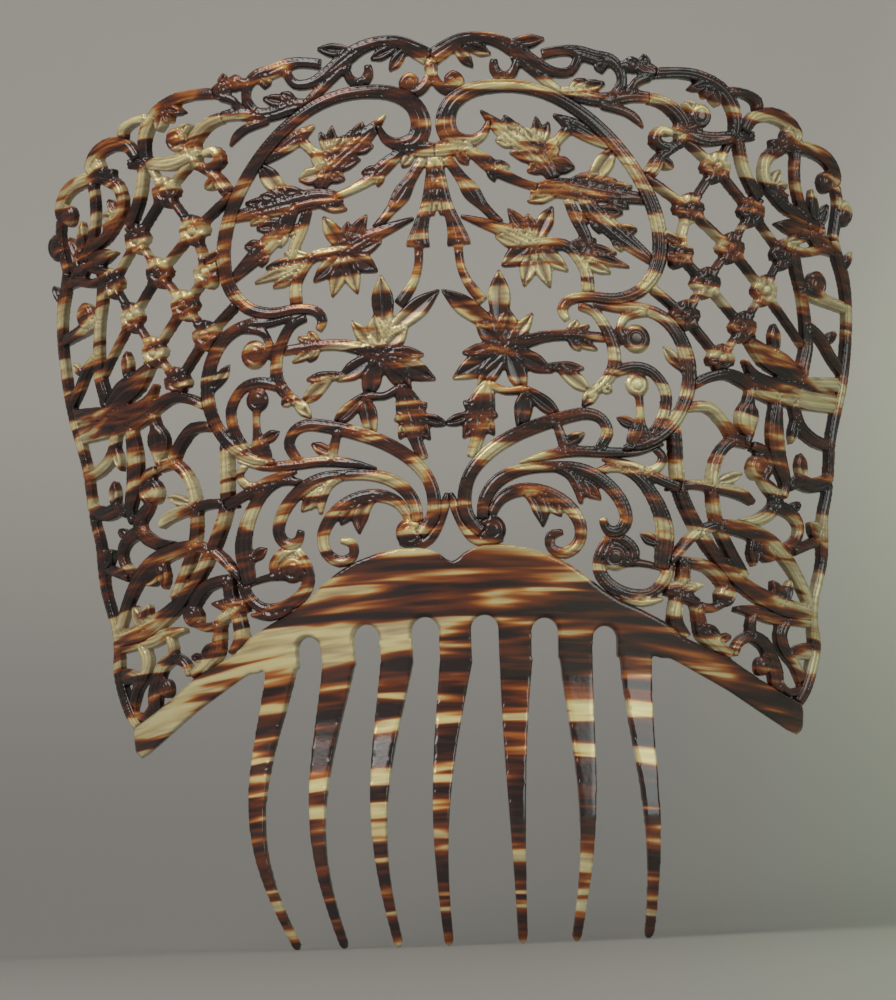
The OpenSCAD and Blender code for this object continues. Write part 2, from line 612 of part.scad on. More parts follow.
module side_volutes_outline() {
    beside() {
        joined() {
            disc([83, 38.6], 3.5, S);
            stroke([[81.6, 44.2, 2.4], [84.4, 43, 3], [86.2, 38.8, 3], [84.4, 35.2, 3],
                [87.4, 31.6, 3.8], [87, 27.6, 4.2],
                [82.6, 24.4, 3.6], [77.6, 23.2, 3]], S);
            stroke([[86.8, 28.6, 3.4], [91.6, 27, 3.4], [94, 23.4, 3.2], [93, 19.4, 3], [89.6, 17, 3]],
                S);
            leaf([91.4, 27], [94.6, 29.6], 3, S);
            stroke([[92.4, 16.6, 2.8], [96, 18.4, 3], [100.6, 20.4, 3.4]], S);
            stroke([[87, 30.6, 3.4], [90, 32, 3]], S);
        }
        rim_outline();
        lens_frame_outline();
        cross_scroll_outline();
    }
}

module corner_scroll_outline() {
    beside() {
        joined() {
            stroke([[60.6, 12.4, 3.4], [63, 12.8, 3], [68.4, 11.6, 3], [72, 8, 3.2], [73.4, 4.6, 3.6]],
                S);
            disc([73, 4.2], 3.2, S);
            stroke([[62.2, 12.6, 3], [61.6, 8, 3.2], [60, 3, 3.2], [59.2, -3, 3.6], [61.4, -7.6, 3.8]],
                S);
            stroke([[57, 5.6, 3], [61.6, 5.8, 4.6], [66.8, 6.8, 0.8]], S);
            stroke([[60.6, 4, 2.6], [64.6, 2.2, 2.6], [65.6, -2, 3.2], [66.4, -6, 3.8],
                [69, -8.4, 3.6], [73.6, -12.4, 3.4]], S);
            leaf([65.5, -4], [70.8, -6.4], 3, S);
            leaf([69.6, -7.6], [74, -7], 2.6, S);
            stroke([[64.6, 1.4, 2.4], [69, 0.6, 2.4], [73, 2.6, 2.4]], S);
        }
        lens_frame_outline();
    }
}

module corner_fan_outline() {
    beside() {
        joined() {
            stroke([[75.4, 0.6, 1.4], [80.6, 0, 3.2], [86, -1.4, 4], [91, -1, 5], [96.6, -2, 4]], S);
            stroke([[80.6, -0.4, 2.6], [79.6, -3.6, 2.8], [79.8, -7.4, 3]], S);
            stroke([[74.6, -11.8, 2.6], [76, -8.6, 2.8], [79.4, -6.8, 3.2], [83, -8.6, 3.6],
                [85, -12.8, 4.4], [86.2, -17.4, 5],
                [86.4, -22.6, 3.6]], S);
            disc([82.4, -14.6], 2.7, S);
            stroke([[89.6, -2, 4], [87.8, -6.2, 4.4], [89, -10.6, 3.4], [91.6, -14, 3.2],
                [93.4, -18.4, 3.2]], S);
            stroke([[90, -11.6, 3], [93.6, -10.4, 4.4], [97, -10.6, 4.4]], S);
            stroke([[86.6, -18.6, 2], [89.6, -21.8, 2.2], [94.4, -20.4, 2.4]], S);
        }
        rim_outline();
        lens_frame_outline();
        corner_scroll_outline();
    }
}

// ---- solids -----------------------------------------------------------------

function tooth_x(i) = (i - (teeth - 1) / 2) * tooth_pitch;
function tooth_turn(i) = asin(tooth_x(i) / cone_r(tooth_top));

// at the share t of a tooth's length: how far its face stands out, its width and its drift
function tooth_out(t) = tooth_bow * sin(180 * t) * sin(90 * t) - tooth_tuck * t * t
    - tan(flare) * tooth_l * t * pow(1 - t, 3);
function tooth_w(t) = tooth_root_w + (tooth_tip_w - tooth_root_w) * (1 - pow(1 - t, 1.6));
function tooth_mid(i, t) = tooth_drift[i][0] * sin(180 * t) + tooth_drift[i][1] * t;

// the gap between two teeth, round at the top
module slot(i) {
    x = (tooth_x(i) + tooth_x(i + 1)) / 2;
    w = tooth_pitch - tooth_root_w;
    top = -0.0024 * x * x;
    translate([0, bend_r, 0]) rotate([0, 0, asin(x / cone_r(top))]) rotate([90, 0, 0])
    linear_extrude(height = cone_r(0) + 20)
    joined() {
        translate([0, top - w / 2]) circle(w / 2, $fn = 24);
        translate([-w / 2, tooth_top - 5]) square([w, top - w / 2 - tooth_top + 5]);
    }
}

module band() {
    color(amber)
    difference() {
        pierced() band_outline();
        for (i = [0:teeth - 2]) slot(i);
    }
}

module tooth(i) {
    steps = 16;
    back = sheet / cos(flare);
    face = [for (k = [0:steps]) let (t = k / steps)
        [tooth_out(t) + cone_r(tooth_top), tooth_top - t * tooth_l]];
    edge = [for (k = [0:10]) let (t = k / 10.4) [tooth_mid(i, t), tooth_top - t * tooth_l,
        tooth_w(t) / 2]];
    end = edge[10];
    color(i % 2 == 0 ? dark : amber)
    translate([0, bend_r, 0]) rotate([0, 0, tooth_turn(i)])
    intersection() {
        rotate([90, 0, 90]) translate([0, 0, -30]) linear_extrude(height = 60)
            polygon(concat([for (p = face) [-p.x, p.y]],
                [for (k = [steps:-1:0]) [-face[k].x + back * (1 - 0.3 * k / steps), face[k].y]]));
        rotate([90, 0, 0]) linear_extrude(height = cone_r(tooth_top) + 30)
            polygon(concat([for (e = edge) [e.x - e.z, e.y]],
                [for (a = [200:20:340]) [end.x + end.z * cos(a), end.y + end.z * sin(a) * 1.6]],
                [for (k = [10:-1:0]) [edge[k].x + edge[k].z, edge[k].y]]));
    }
}

module pendant() { color(dark) pierced() pendant_outline(); }
module crest_finial() { color(amber) pierced() finial_outline(); }
module oval_scroll_right() { color(dark) pierced() oval_outline(); }
module middle_scroll_right() { color(dark) pierced() beside() { middle_scroll_outline(); oval_outline(); } }
module crest_leaf_right() { color(dark) pierced() crest_leaf_outline(); }
module upper_blossom_right() { color(amber) pierced() upper_blossom_outline(); }
module lower_blossom_right() { color(honey) pierced() lower_blossom_outline(); }
module spray_right() { color(honey) pierced() spray_outline(); }
module leaf_branch_right() { color(dark) pierced() leaf_branch_outline(); }
module bellflower_right() { color(dark) pierced() bellflower_outline(); }
module acanthus_outer_right() { color(amber) pierced() acanthus_outer_outline(); }
module acanthus_middle_right() { color(dark) pierced() acanthus_middle_outline(); }
module acanthus_inner_right() { color(amber) pierced() acanthus_inner_outline(); }
module acanthus_wing_right() { color(dark) pierced() acanthus_wing_outline(); }
module ring_scroll_right() { color(amber) pierced() ring_scroll_outline(); }
module shoulder_arch_right() {
    color(dark) side_pierced() {
        shoulder_arch_outline();
        union() { oval_outline(); crest_leaf_outline(); }
    }
}
module shoulder_scroll_right() {
    color(amber) side_pierced() {
        shoulder_scroll_outline();
    }
}
module lattice_right() {
    color(honey) side_pierced() {
        lattice_outline();
        union() { oval_outline(); middle_scroll_outline(); }
    }
}
module rim_right() {
    color(dark) side_pierced() {
        rim_outline();
        union() { band_outline(); }
    }
}
module palmette_right() {
    color(amber) side_pierced() {
        palmette_outline();
    }
}
module cross_scroll_right() {
    color(dark) side_pierced() {
        cross_scroll_outline();
        union() { middle_scroll_outline(); }
    }
}
module lens_frame_right() {
    color(dark) side_pierced() {
        lens_frame_outline();
        union() { middle_scroll_outline(); acanthus_wing_outline(); ring_scroll_outline(); }
    }
}
module side_volutes_right() {
    color(dark) side_pierced() {
        side_volutes_outline();
    }
}
module corner_fan_right() {
    color(honey) side_pierced() {
        corner_fan_outline();
        union() { band_outline(); }
    }
}
module corner_scroll_right() {
    color(dark) side_pierced() {
        corner_scroll_outline();
        union() { band_outline(); ring_scroll_outline(); acanthus_wing_outline(); }
    }
}
module oval_scroll_left() { mirror([1, 0, 0]) oval_scroll_right(); }
module middle_scroll_left() { mirror([1, 0, 0]) middle_scroll_right(); }
module crest_leaf_left() { mirror([1, 0, 0]) crest_leaf_right(); }
module upper_blossom_left() { mirror([1, 0, 0]) upper_blossom_right(); }
module lower_blossom_left() { mirror([1, 0, 0]) lower_blossom_right(); }
module spray_left() { mirror([1, 0, 0]) spray_right(); }
module leaf_branch_left() { mirror([1, 0, 0]) leaf_branch_right(); }
module bellflower_left() { mirror([1, 0, 0]) bellflower_right(); }
module acanthus_outer_left() { mirror([1, 0, 0]) acanthus_outer_right(); }
module acanthus_middle_left() { mirror([1, 0, 0]) acanthus_middle_right(); }
module acanthus_inner_left() { mirror([1, 0, 0]) acanthus_inner_right(); }
module acanthus_wing_left() { mirror([1, 0, 0]) acanthus_wing_right(); }
module ring_scroll_left() { mirror([1, 0, 0]) ring_scroll_right(); }
module shoulder_arch_left() { mirror([1, 0, 0]) shoulder_arch_right(); }
module shoulder_scroll_left() { mirror([1, 0, 0]) shoulder_scroll_right(); }
module lattice_left() { mirror([1, 0, 0]) lattice_right(); }
module rim_left() { mirror([1, 0, 0]) rim_right(); }
module palmette_left() { mirror([1, 0, 0]) palmette_right(); }
module cross_scroll_left() { mirror([1, 0, 0]) cross_scroll_right(); }
module lens_frame_left() { mirror([1, 0, 0]) lens_frame_right(); }
module side_volutes_left() { mirror([1, 0, 0]) side_volutes_right(); }
module corner_fan_left() { mirror([1, 0, 0]) corner_fan_right(); }
module corner_scroll_left() { mirror([1, 0, 0]) corner_scroll_right(); }

// ---- the nodes ---------------------------------------------------------------

band();
pendant();
crest_finial();
tooth(0);  // tooth_1
tooth(1);  // tooth_2
tooth(2);  // tooth_3
tooth(3);  // tooth_4
tooth(4);  // tooth_5
tooth(5);  // tooth_6
tooth(6);  // tooth_7
oval_scroll_right();
oval_scroll_left();
middle_scroll_right();
middle_scroll_left();
crest_leaf_right();
crest_leaf_left();
upper_blossom_right();
upper_blossom_left();
lower_blossom_right();
lower_blossom_left();
spray_right();
spray_left();
leaf_branch_right();
leaf_branch_left();
bellflower_right();
bellflower_left();
acanthus_outer_right();
acanthus_outer_left();
acanthus_middle_right();
acanthus_middle_left();
acanthus_inner_right();
acanthus_inner_left();
acanthus_wing_right();
acanthus_wing_left();
ring_scroll_right();
ring_scroll_left();
shoulder_arch_right();
shoulder_arch_left();
shoulder_scroll_right();
shoulder_scroll_left();
lattice_right();
lattice_left();
rim_right();
rim_left();
palmette_right();
palmette_left();
cross_scroll_right();
cross_scroll_left();
lens_frame_right();
lens_frame_left();
side_volutes_right();
side_volutes_left();
corner_fan_right();
corner_fan_left();
corner_scroll_right();
corner_scroll_left();
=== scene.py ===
"""Tall pierced hair comb of imitation tortoiseshell: looks for the bent, carved sheet.

Each part of the sheet starts from a merged copy of its CAD node, is remeshed finely and then carved
on its front: scrolls get edge lines, leaves get ribs, volute eyes are raised.
"""

import json
import logging
import math
from dataclasses import dataclass, field
from enum import Enum

import bmesh
import bpy
import numpy as np
from mathutils import Matrix, Vector
from mathutils.kdtree import KDTree

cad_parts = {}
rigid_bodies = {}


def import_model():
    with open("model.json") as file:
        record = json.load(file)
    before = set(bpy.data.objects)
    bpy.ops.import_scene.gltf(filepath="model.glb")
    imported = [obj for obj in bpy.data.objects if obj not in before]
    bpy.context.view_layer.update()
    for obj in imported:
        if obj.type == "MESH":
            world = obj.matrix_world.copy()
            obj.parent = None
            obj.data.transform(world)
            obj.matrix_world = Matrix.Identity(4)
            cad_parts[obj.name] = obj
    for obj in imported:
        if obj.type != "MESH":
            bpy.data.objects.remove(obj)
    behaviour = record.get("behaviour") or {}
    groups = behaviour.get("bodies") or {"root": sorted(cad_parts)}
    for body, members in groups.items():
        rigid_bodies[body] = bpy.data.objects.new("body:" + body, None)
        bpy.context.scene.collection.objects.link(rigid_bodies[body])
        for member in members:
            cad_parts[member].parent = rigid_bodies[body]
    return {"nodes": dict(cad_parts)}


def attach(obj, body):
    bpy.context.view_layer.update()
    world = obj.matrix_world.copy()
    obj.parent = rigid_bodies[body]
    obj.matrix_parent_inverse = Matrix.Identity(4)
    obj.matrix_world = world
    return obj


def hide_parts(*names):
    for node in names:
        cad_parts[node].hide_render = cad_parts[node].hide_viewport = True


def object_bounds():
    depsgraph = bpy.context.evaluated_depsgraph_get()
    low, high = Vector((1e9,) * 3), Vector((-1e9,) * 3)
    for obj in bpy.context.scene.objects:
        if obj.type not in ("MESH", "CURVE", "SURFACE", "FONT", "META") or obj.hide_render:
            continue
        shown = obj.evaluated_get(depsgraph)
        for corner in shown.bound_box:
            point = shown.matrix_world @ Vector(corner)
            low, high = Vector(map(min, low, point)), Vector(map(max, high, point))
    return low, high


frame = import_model()
CAD_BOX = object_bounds()
LOG = logging.getLogger("comb")
MM = 0.001


# ---- the sheet and its carving ------------------------------------------------


class Cut(Enum):
    """How the carver treats one mark on the front."""

    SCROLL = "S"
    LEAF = "L"
    FAN = "F"
    EYE = "D"


@dataclass(frozen=True)
class Sheet:
    """The bent sheet, in millimetres: a cone shell about an upright axis."""

    bend: float = 122.0
    flare: float = math.radians(8.5)
    thick: float = 3.0
    side_turn: float = math.radians(42.0)

    def depth(self, co: np.ndarray) -> np.ndarray:
        """How far below the front face each point lies.

        Args:
            co: points, one row each.

        Returns:
            One depth per point; 0 is the front face.
        """
        rho = np.hypot(co[:, 0], co[:, 1] - self.bend)
        return (self.bend + co[:, 2] * math.tan(self.flare) - rho) * math.cos(self.flare)

    def outward(self, co: np.ndarray) -> np.ndarray:
        """The direction that faces out of the front at each point.

        Args:
            co: points, one row each.

        Returns:
            One unit vector per point.
        """
        across = np.stack([co[:, 0], co[:, 1] - self.bend], 1)
        across /= np.maximum(np.linalg.norm(across, axis=1, keepdims=True), 1e-6)
        up = np.full((len(co), 1), -math.sin(self.flare))
        return np.hstack([across * math.cos(self.flare), up])

    def flat(self, co: np.ndarray, turn: float) -> np.ndarray:
        """Points as drawn in the view from `turn` to the side.

        Args:
            co: points, one row each.
            turn: the direction of the view, in radians.

        Returns:
            Two numbers per point.
        """
        return np.stack([co[:, 0] * math.cos(turn) + (co[:, 1] - self.bend) * math.sin(turn), co[:, 2]], 1)

    def drawn(self, rows: np.ndarray, turn: float) -> np.ndarray:
        """Drawn points of the front view, moved to the view from `turn` to the side.

        Args:
            rows: x, z and a width in each row.
            turn: the direction of the view, in radians.

        Returns:
            The same rows with x as that view shows it.
        """
        r = self.bend + rows[:, 1] * math.tan(self.flare)
        x = np.minimum(rows[:, 0], r * 0.985)
        seen = x * math.cos(turn) - np.sqrt(r * r - x * x) * math.sin(turn)
        return np.column_stack([seen if turn else rows[:, 0], rows[:, 1], rows[:, 2]])


def smooth_run(rows: np.ndarray, steps: int = 4) -> np.ndarray:
    """A smooth run through the rows.

    Args:
        rows: points with a width in each row.
        steps: points from each row to the next.

    Returns:
        The denser run.
    """
    last = len(rows) - 1
    out = []
    for i in range(last):
        a, b, c, d = rows[max(i - 1, 0)], rows[i], rows[i + 1], rows[min(i + 2, last)]
        for k in range(steps):
            t = k / steps
            out.append(0.5 * (2 * b + (c - a) * t + (2 * a - 5 * b + 4 * c - d) * t * t
                              + (3 * b - a - 3 * c + d) * t ** 3))
    return np.array(out + [rows[-1]])


@dataclass(frozen=True)
class Mark:
    """One carved stroke, leaf or volute eye, drawn in the flat."""

    cut: Cut
    run: np.ndarray

    def across(self, flat: np.ndarray) -> tuple[np.ndarray, np.ndarray]:
        """Where each point lies across this mark.

        Args:
            flat: two numbers per point.

        Returns:
            The signed distance from the middle line, and half the width there.
        """
        near = np.full(len(flat), 1e9)
        side = np.zeros(len(flat))
        half = np.ones(len(flat))
        for a, b in zip(self.run[:-1], self.run[1:]):
            d = b[:2] - a[:2]
            t = np.clip(((flat - a[:2]) @ d) / max(float(d @ d), 1e-9), 0, 1)
            gap = flat - (a[:2] + t[:, None] * d)
            dist = np.hypot(gap[:, 0], gap[:, 1])
            closer = dist < near
            near = np.where(closer, dist, near)
            side = np.where(closer, np.sign(d[0] * gap[:, 1] - d[1] * gap[:, 0]) * dist, side)
            half = np.where(closer, (a[2] + (b[2] - a[2]) * t) / 2, half)
        return side, np.maximum(half, 0.25)

    def relief(self, flat: np.ndarray) -> np.ndarray:
        """The carved height that this mark gives, in millimetres from the front face.

        Args:
            flat: two numbers per point.

        Returns:
            One height per point; far outside the mark it is very low.
        """
        side, half = self.across(flat)
        off = np.abs(side)
        share = off / half
        edge = half - off
        if self.cut is Cut.EYE:
            ring = 0.4 * np.exp(-((off - half * 0.5) / 0.26) ** 2)
            high = 0.35 * np.sqrt(np.clip(1 - share ** 2, 0, 1)) - 0.75 * np.exp(-((edge - 0.35) / 0.3) ** 2) - ring
        elif self.cut is Cut.SCROLL:
            lines = np.exp(-((edge - 0.75) / 0.24) ** 2) * np.clip(half * 4 - 4.4, 0, 1)
            middle = np.exp(-(side / 0.28) ** 2) * np.clip(half * 4 - 6.6, 0, 1)
            high = -0.28 * share ** 2 - 0.5 * lines - 0.4 * middle
        else:
            dish = 0.55 * np.clip(1 - (off / np.maximum(half - 0.75, 0.3)) ** 2, 0, 1)
            rib = 0.4 * np.exp(-(side / 0.26) ** 2) * np.clip(half / 1.2, 0, 1)
            high = -0.15 - dish - 0.35 * np.clip(share - 0.6, 0, 1) - rib
        return np.where(edge > 0.0, high, np.where(edge > -0.25, high - 0.3, -9.0))


def read_marks(text: str, sheet: Sheet, turn: float) -> list[Mark]:
    """Reads a carver's list: one mark a line, its kind first.

    Args:
        text: S x,z,w ... for a scroll, L x z x z w [bow] for a leaf, F x z x,z,w ... for a fan of
            leaves from one foot, D x z r for a volute eye.
        sheet: the sheet that it is drawn on.
        turn: the direction of the view that it is drawn in.

    Returns:
        The marks, in the flat.
    """
    marks = []
    for line in text.strip().splitlines():
        kind, *words = line.split()
        rows = [[float(v) for v in w.split(",")] for w in words]
        if kind == Cut.SCROLL.value:
            marks.append(Mark(Cut.SCROLL, smooth_run(sheet.drawn(np.array(rows), turn))))
        elif kind == Cut.EYE.value:
            x, z, r = (row[0] for row in rows)
            at = sheet.drawn(np.array([[x, z, 2 * r]]), turn)[0]
            marks.append(Mark(Cut.EYE, np.array([at, at + [0.01, 0, 0]])))
        else:
            foot = np.array([rows[0][0], rows[1][0]])
            tips = rows[2:] if kind == Cut.FAN.value else [[rows[2][0], rows[3][0], rows[4][0]]]
            bow = rows[5][0] if kind == Cut.LEAF.value and len(rows) > 5 else 0.0
            for x, z, w in tips:
                tip = np.array([x, z])
                way = tip - foot
                side = np.array([-way[1], way[0]]) / max(float(np.linalg.norm(way)), 1e-6) * bow
                low, far = foot * 0.68 + tip * 0.32 + side * 0.9, foot * 0.34 + tip * 0.66 + side * 0.9
                leaf = np.array([[*foot, w * 0.45], [*low, w * 0.9], [*far, w], [*tip, 0.5]])
                marks.append(Mark(Cut.LEAF, smooth_run(sheet.drawn(leaf, turn))))
    return marks


# ---- making meshes ------------------------------------------------------------


def deselect() -> None:
    """Leaves nothing selected."""
    for obj in bpy.context.view_layer.objects:
        obj.select_set(False)


def take_up(obj: bpy.types.Object) -> None:
    """Makes one object the selected and active one.

    Args:
        obj: the object.
    """
    deselect()
    bpy.context.view_layer.objects.active = obj
    obj.select_set(True)


def blank_from(nodes: list[str], name: str) -> bpy.types.Object:
    """A merged copy of CAD nodes as one new object.

    Args:
        nodes: the CAD nodes to copy.
        name: the new object's name.

    Returns:
        The object, at the origin.
    """
    parts = []
    for node in nodes:
        part = bpy.data.objects.new(name, frame["nodes"][node].data.copy())
        bpy.context.scene.collection.objects.link(part)
        parts.append(part)
    take_up(parts[0])
    for part in parts:
        part.select_set(True)
    if len(parts) > 1:
        bpy.ops.object.join()
    blank = bpy.context.view_layer.objects.active
    blank.data.materials.clear()
    bpy.ops.object.mode_set(mode="EDIT")
    bpy.ops.mesh.select_all(action="SELECT")
    bpy.ops.mesh.remove_doubles(threshold=0.000002)
    bpy.ops.object.mode_set(mode="OBJECT")
    return blank


def points_of(obj: bpy.types.Object) -> np.ndarray:
    """Reads the object's points.

    Args:
        obj: the object to read.

    Returns:
        One row per point, in millimetres.
    """
    co = np.zeros(len(obj.data.vertices) * 3)
    obj.data.vertices.foreach_get("co", co)
    return co.reshape(-1, 3) / MM


def set_points(obj: bpy.types.Object, co: np.ndarray) -> None:
    """Puts points back into the object.

    Args:
        obj: the object to change.
        co: one row per point, in millimetres.
    """
    obj.data.vertices.foreach_set("co", (co * MM).ravel())
    obj.data.update()


def front_edges(obj: bpy.types.Object, sheet: Sheet) -> KDTree:
    """Samples the line where the front face meets the sawn walls.

    Args:
        obj: a merged blank.
        sheet: the sheet that it is cut from.

    Returns:
        A tree of points, in millimetres.
    """
    mesh = bmesh.new()
    mesh.from_mesh(obj.data)
    mesh.normal_update()
    samples: list[np.ndarray] = []
    for edge in mesh.edges:
        if len(edge.link_faces) != 2:
            continue
        ends = np.array([v.co for v in edge.verts]) / MM
        if np.abs(sheet.depth(ends)).max() > 0.25:
            continue
        out = Vector(sheet.outward(ends)[0])
        faces_out = [f.normal.dot(out) > 0.7 for f in edge.link_faces]
        if faces_out[0] == faces_out[1]:
            continue
        count = max(int(np.linalg.norm(ends[1] - ends[0]) / 0.3), 1)
        samples += [ends[0] + (ends[1] - ends[0]) * k / count for k in range(count)]
    mesh.free()
    tree = KDTree(len(samples))
    for i, point in enumerate(samples):
        tree.insert(point, i)
    tree.balance()
    return tree


def soften(obj: bpy.types.Object, factor: float, rounds: int) -> None:
    """Rubs the surface down a little.

    Args:
        obj: the object to change.
        factor: how far each round goes.
        rounds: how many rounds.
    """
    take_up(obj)
    soft = obj.modifiers.new("soft", "SMOOTH")
    soft.factor = factor
    soft.iterations = rounds
    bpy.ops.object.modifier_apply(modifier=soft.name)


def remeshed(obj: bpy.types.Object, voxel: float, rounds: int) -> None:
    """Gives the object an even fine mesh and softens its saw marks.

    Args:
        obj: the object to change.
        voxel: the size of the mesh, in millimetres.
        rounds: rounds of softening.
    """
    take_up(obj)
    grain = obj.modifiers.new("grain", "REMESH")
    grain.mode = "VOXEL"
    grain.voxel_size = voxel * MM
    bpy.ops.object.modifier_apply(modifier=grain.name)
    soften(obj, 0.5, rounds)


def store_carving(obj: bpy.types.Object, cut: np.ndarray) -> None:
    """Keeps how deeply each point is cut, for the polish and for the painted shade that darkens the cuts, the sawn
    walls and the band's edges.

    Args:
        obj: the piece.
        cut: one number per point, from 0 to 1.
    """
    layer = obj.data.attributes.new("carving", "FLOAT", "POINT")
    layer.data.foreach_set("value", np.clip(cut, 0, 1).astype(np.float32))


def finish_piece(obj: bpy.types.Object, nodes: list[str], shell: bpy.types.Material) -> None:
    """Shades a piece, gives it its finish and puts it on the body.

    Args:
        obj: the piece.
        nodes: the CAD nodes that it stands for.
        shell: its material.
    """
    take_up(obj)
    bpy.ops.object.shade_smooth()
    obj.data.materials.append(shell)
    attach(obj, "root")
    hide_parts(*nodes)
    LOG.info("%s: %d faces", obj.name, len(obj.data.polygons))


# ---- the ornament -------------------------------------------------------------


@dataclass
class Motif:
    """One carved motif of the heading; its twin on the left is a mirrored copy."""

    name: str
    marks: str
    turned: bool = False
    paired: bool = True
    voxel: float = 0.35
    sheet: Sheet = field(default_factory=Sheet)

    def relief(self, flat: np.ndarray) -> np.ndarray:
        """The carved height of the whole motif.

        Args:
            flat: two numbers per point.

        Returns:
            One height per point, in millimetres from the front face.
        """
        turn = self.sheet.side_turn if self.turned else 0.0
        top = np.full(len(flat), -9.0)
        second = top.copy()
        for mark in read_marks(self.marks, self.sheet, turn):
            high = mark.relief(flat)
            second = np.maximum(second, np.minimum(top, high))
            top = np.maximum(top, high)
        crease = 0.45 * np.exp(-((top - second) / 0.09) ** 2) * (second > -2.0)
        return np.where(top < -2.0, -0.3, top - crease)

    def carve(self, obj: bpy.types.Object, rim: KDTree) -> None:
        """Carves the motif into its blank.

        Args:
            obj: the remeshed blank.
            rim: points on the line round its front face.
        """
        co = points_of(obj)
        turn = self.sheet.side_turn if self.turned else 0.0
        flat = self.sheet.flat(co, turn)
        if not self.paired:
            flat[:, 0] = np.abs(flat[:, 0])
        depth = np.clip(self.sheet.depth(co), 0, self.sheet.thick)
        lift = depth / self.sheet.thick
        out = self.sheet.outward(co)
        to_rim = np.array([rim.find(Vector(p))[2] for p in co + out * depth[:, None]])
        high = self.relief(flat) - 0.55 * np.clip(1 - to_rim / 0.6, 0, 1) ** 2
        back = 0.35 * np.clip(1 - to_rim / 0.6, 0, 1) ** 2
        move = high * (1 - lift) + back * lift
        normals = np.zeros(len(co) * 3)
        obj.data.vertices.foreach_get("normal", normals)
        walls = normals.reshape(-1, 3)
        walls = walls - out * np.sum(walls * out, 1, keepdims=True)
        set_points(obj, co + out * move[:, None] + walls * 0.07)
        # Painted shade: the colour is darkened deepest in the cuts and a little on the sawn walls.
        store_carving(obj, (-high - 0.2) / 0.7 * (1 - lift) ** 2 + 0.25 * lift)
        soften(obj, 0.35, 1)

    def build(self, shell: bpy.types.Material) -> None:
        """Makes the motif and its mirrored twin.

        Args:
            shell: the material of both.
        """
        node = f"{self.name}_right" if self.paired else self.name
        piece = blank_from([node], f"carved_{node}")
        rim = front_edges(piece, self.sheet)
        remeshed(piece, self.voxel, 2)
        self.carve(piece, rim)
        if self.paired:
            left = f"{self.name}_left"
            twin = bpy.data.objects.new(f"carved_{left}", piece.data.copy())
            bpy.context.scene.collection.objects.link(twin)
            twin.data.transform(Matrix.Scale(-1, 4, (1, 0, 0)))
            twin.data.flip_normals()
            finish_piece(twin, [left], shell)
        finish_piece(piece, [node], shell)


@dataclass
class Trellis(Motif):
    """The pierced trellis of the shoulders: bars with a rosette at each crossing."""

    crossings: tuple[tuple[float, float], ...] = (
        (74.6, 117), (67, 105.8), (83.8, 106.2), (77.8, 96.2), (70.8, 86.6), (92, 95.6), (86.6, 85.6),
        (64.8, 77.8), (80.4, 75.6), (74, 66.6), (63.6, 94.2))
    reach: float = 4.4

    def relief(self, flat: np.ndarray) -> np.ndarray:
        """Rosettes with four petals and a round eye; the bars lie lower.

        Args:
            flat: two numbers per point.

        Returns:
            One height per point, in millimetres from the front face.
        """
        high = np.full(len(flat), -0.4)
        spots = self.sheet.drawn(np.array([[x, z, 0] for x, z in self.crossings]), self.sheet.side_turn)
        for x, z, _ in spots:
            gap = flat - [x, z]
            dist = np.hypot(gap[:, 0], gap[:, 1])
            way = np.arctan2(gap[:, 1], gap[:, 0])
            petals = 0.1 - 0.5 * np.cos(way * 2) ** 8 * np.clip(dist / 1.6, 0, 1)
            eye = 0.3 * np.sqrt(np.clip(1 - (dist / 1.3) ** 2, 0, 1)) - 0.6 * np.exp(-((dist - 1.5) / 0.28) ** 2)
            high = np.where(dist < self.reach, petals + eye, high)
        return high


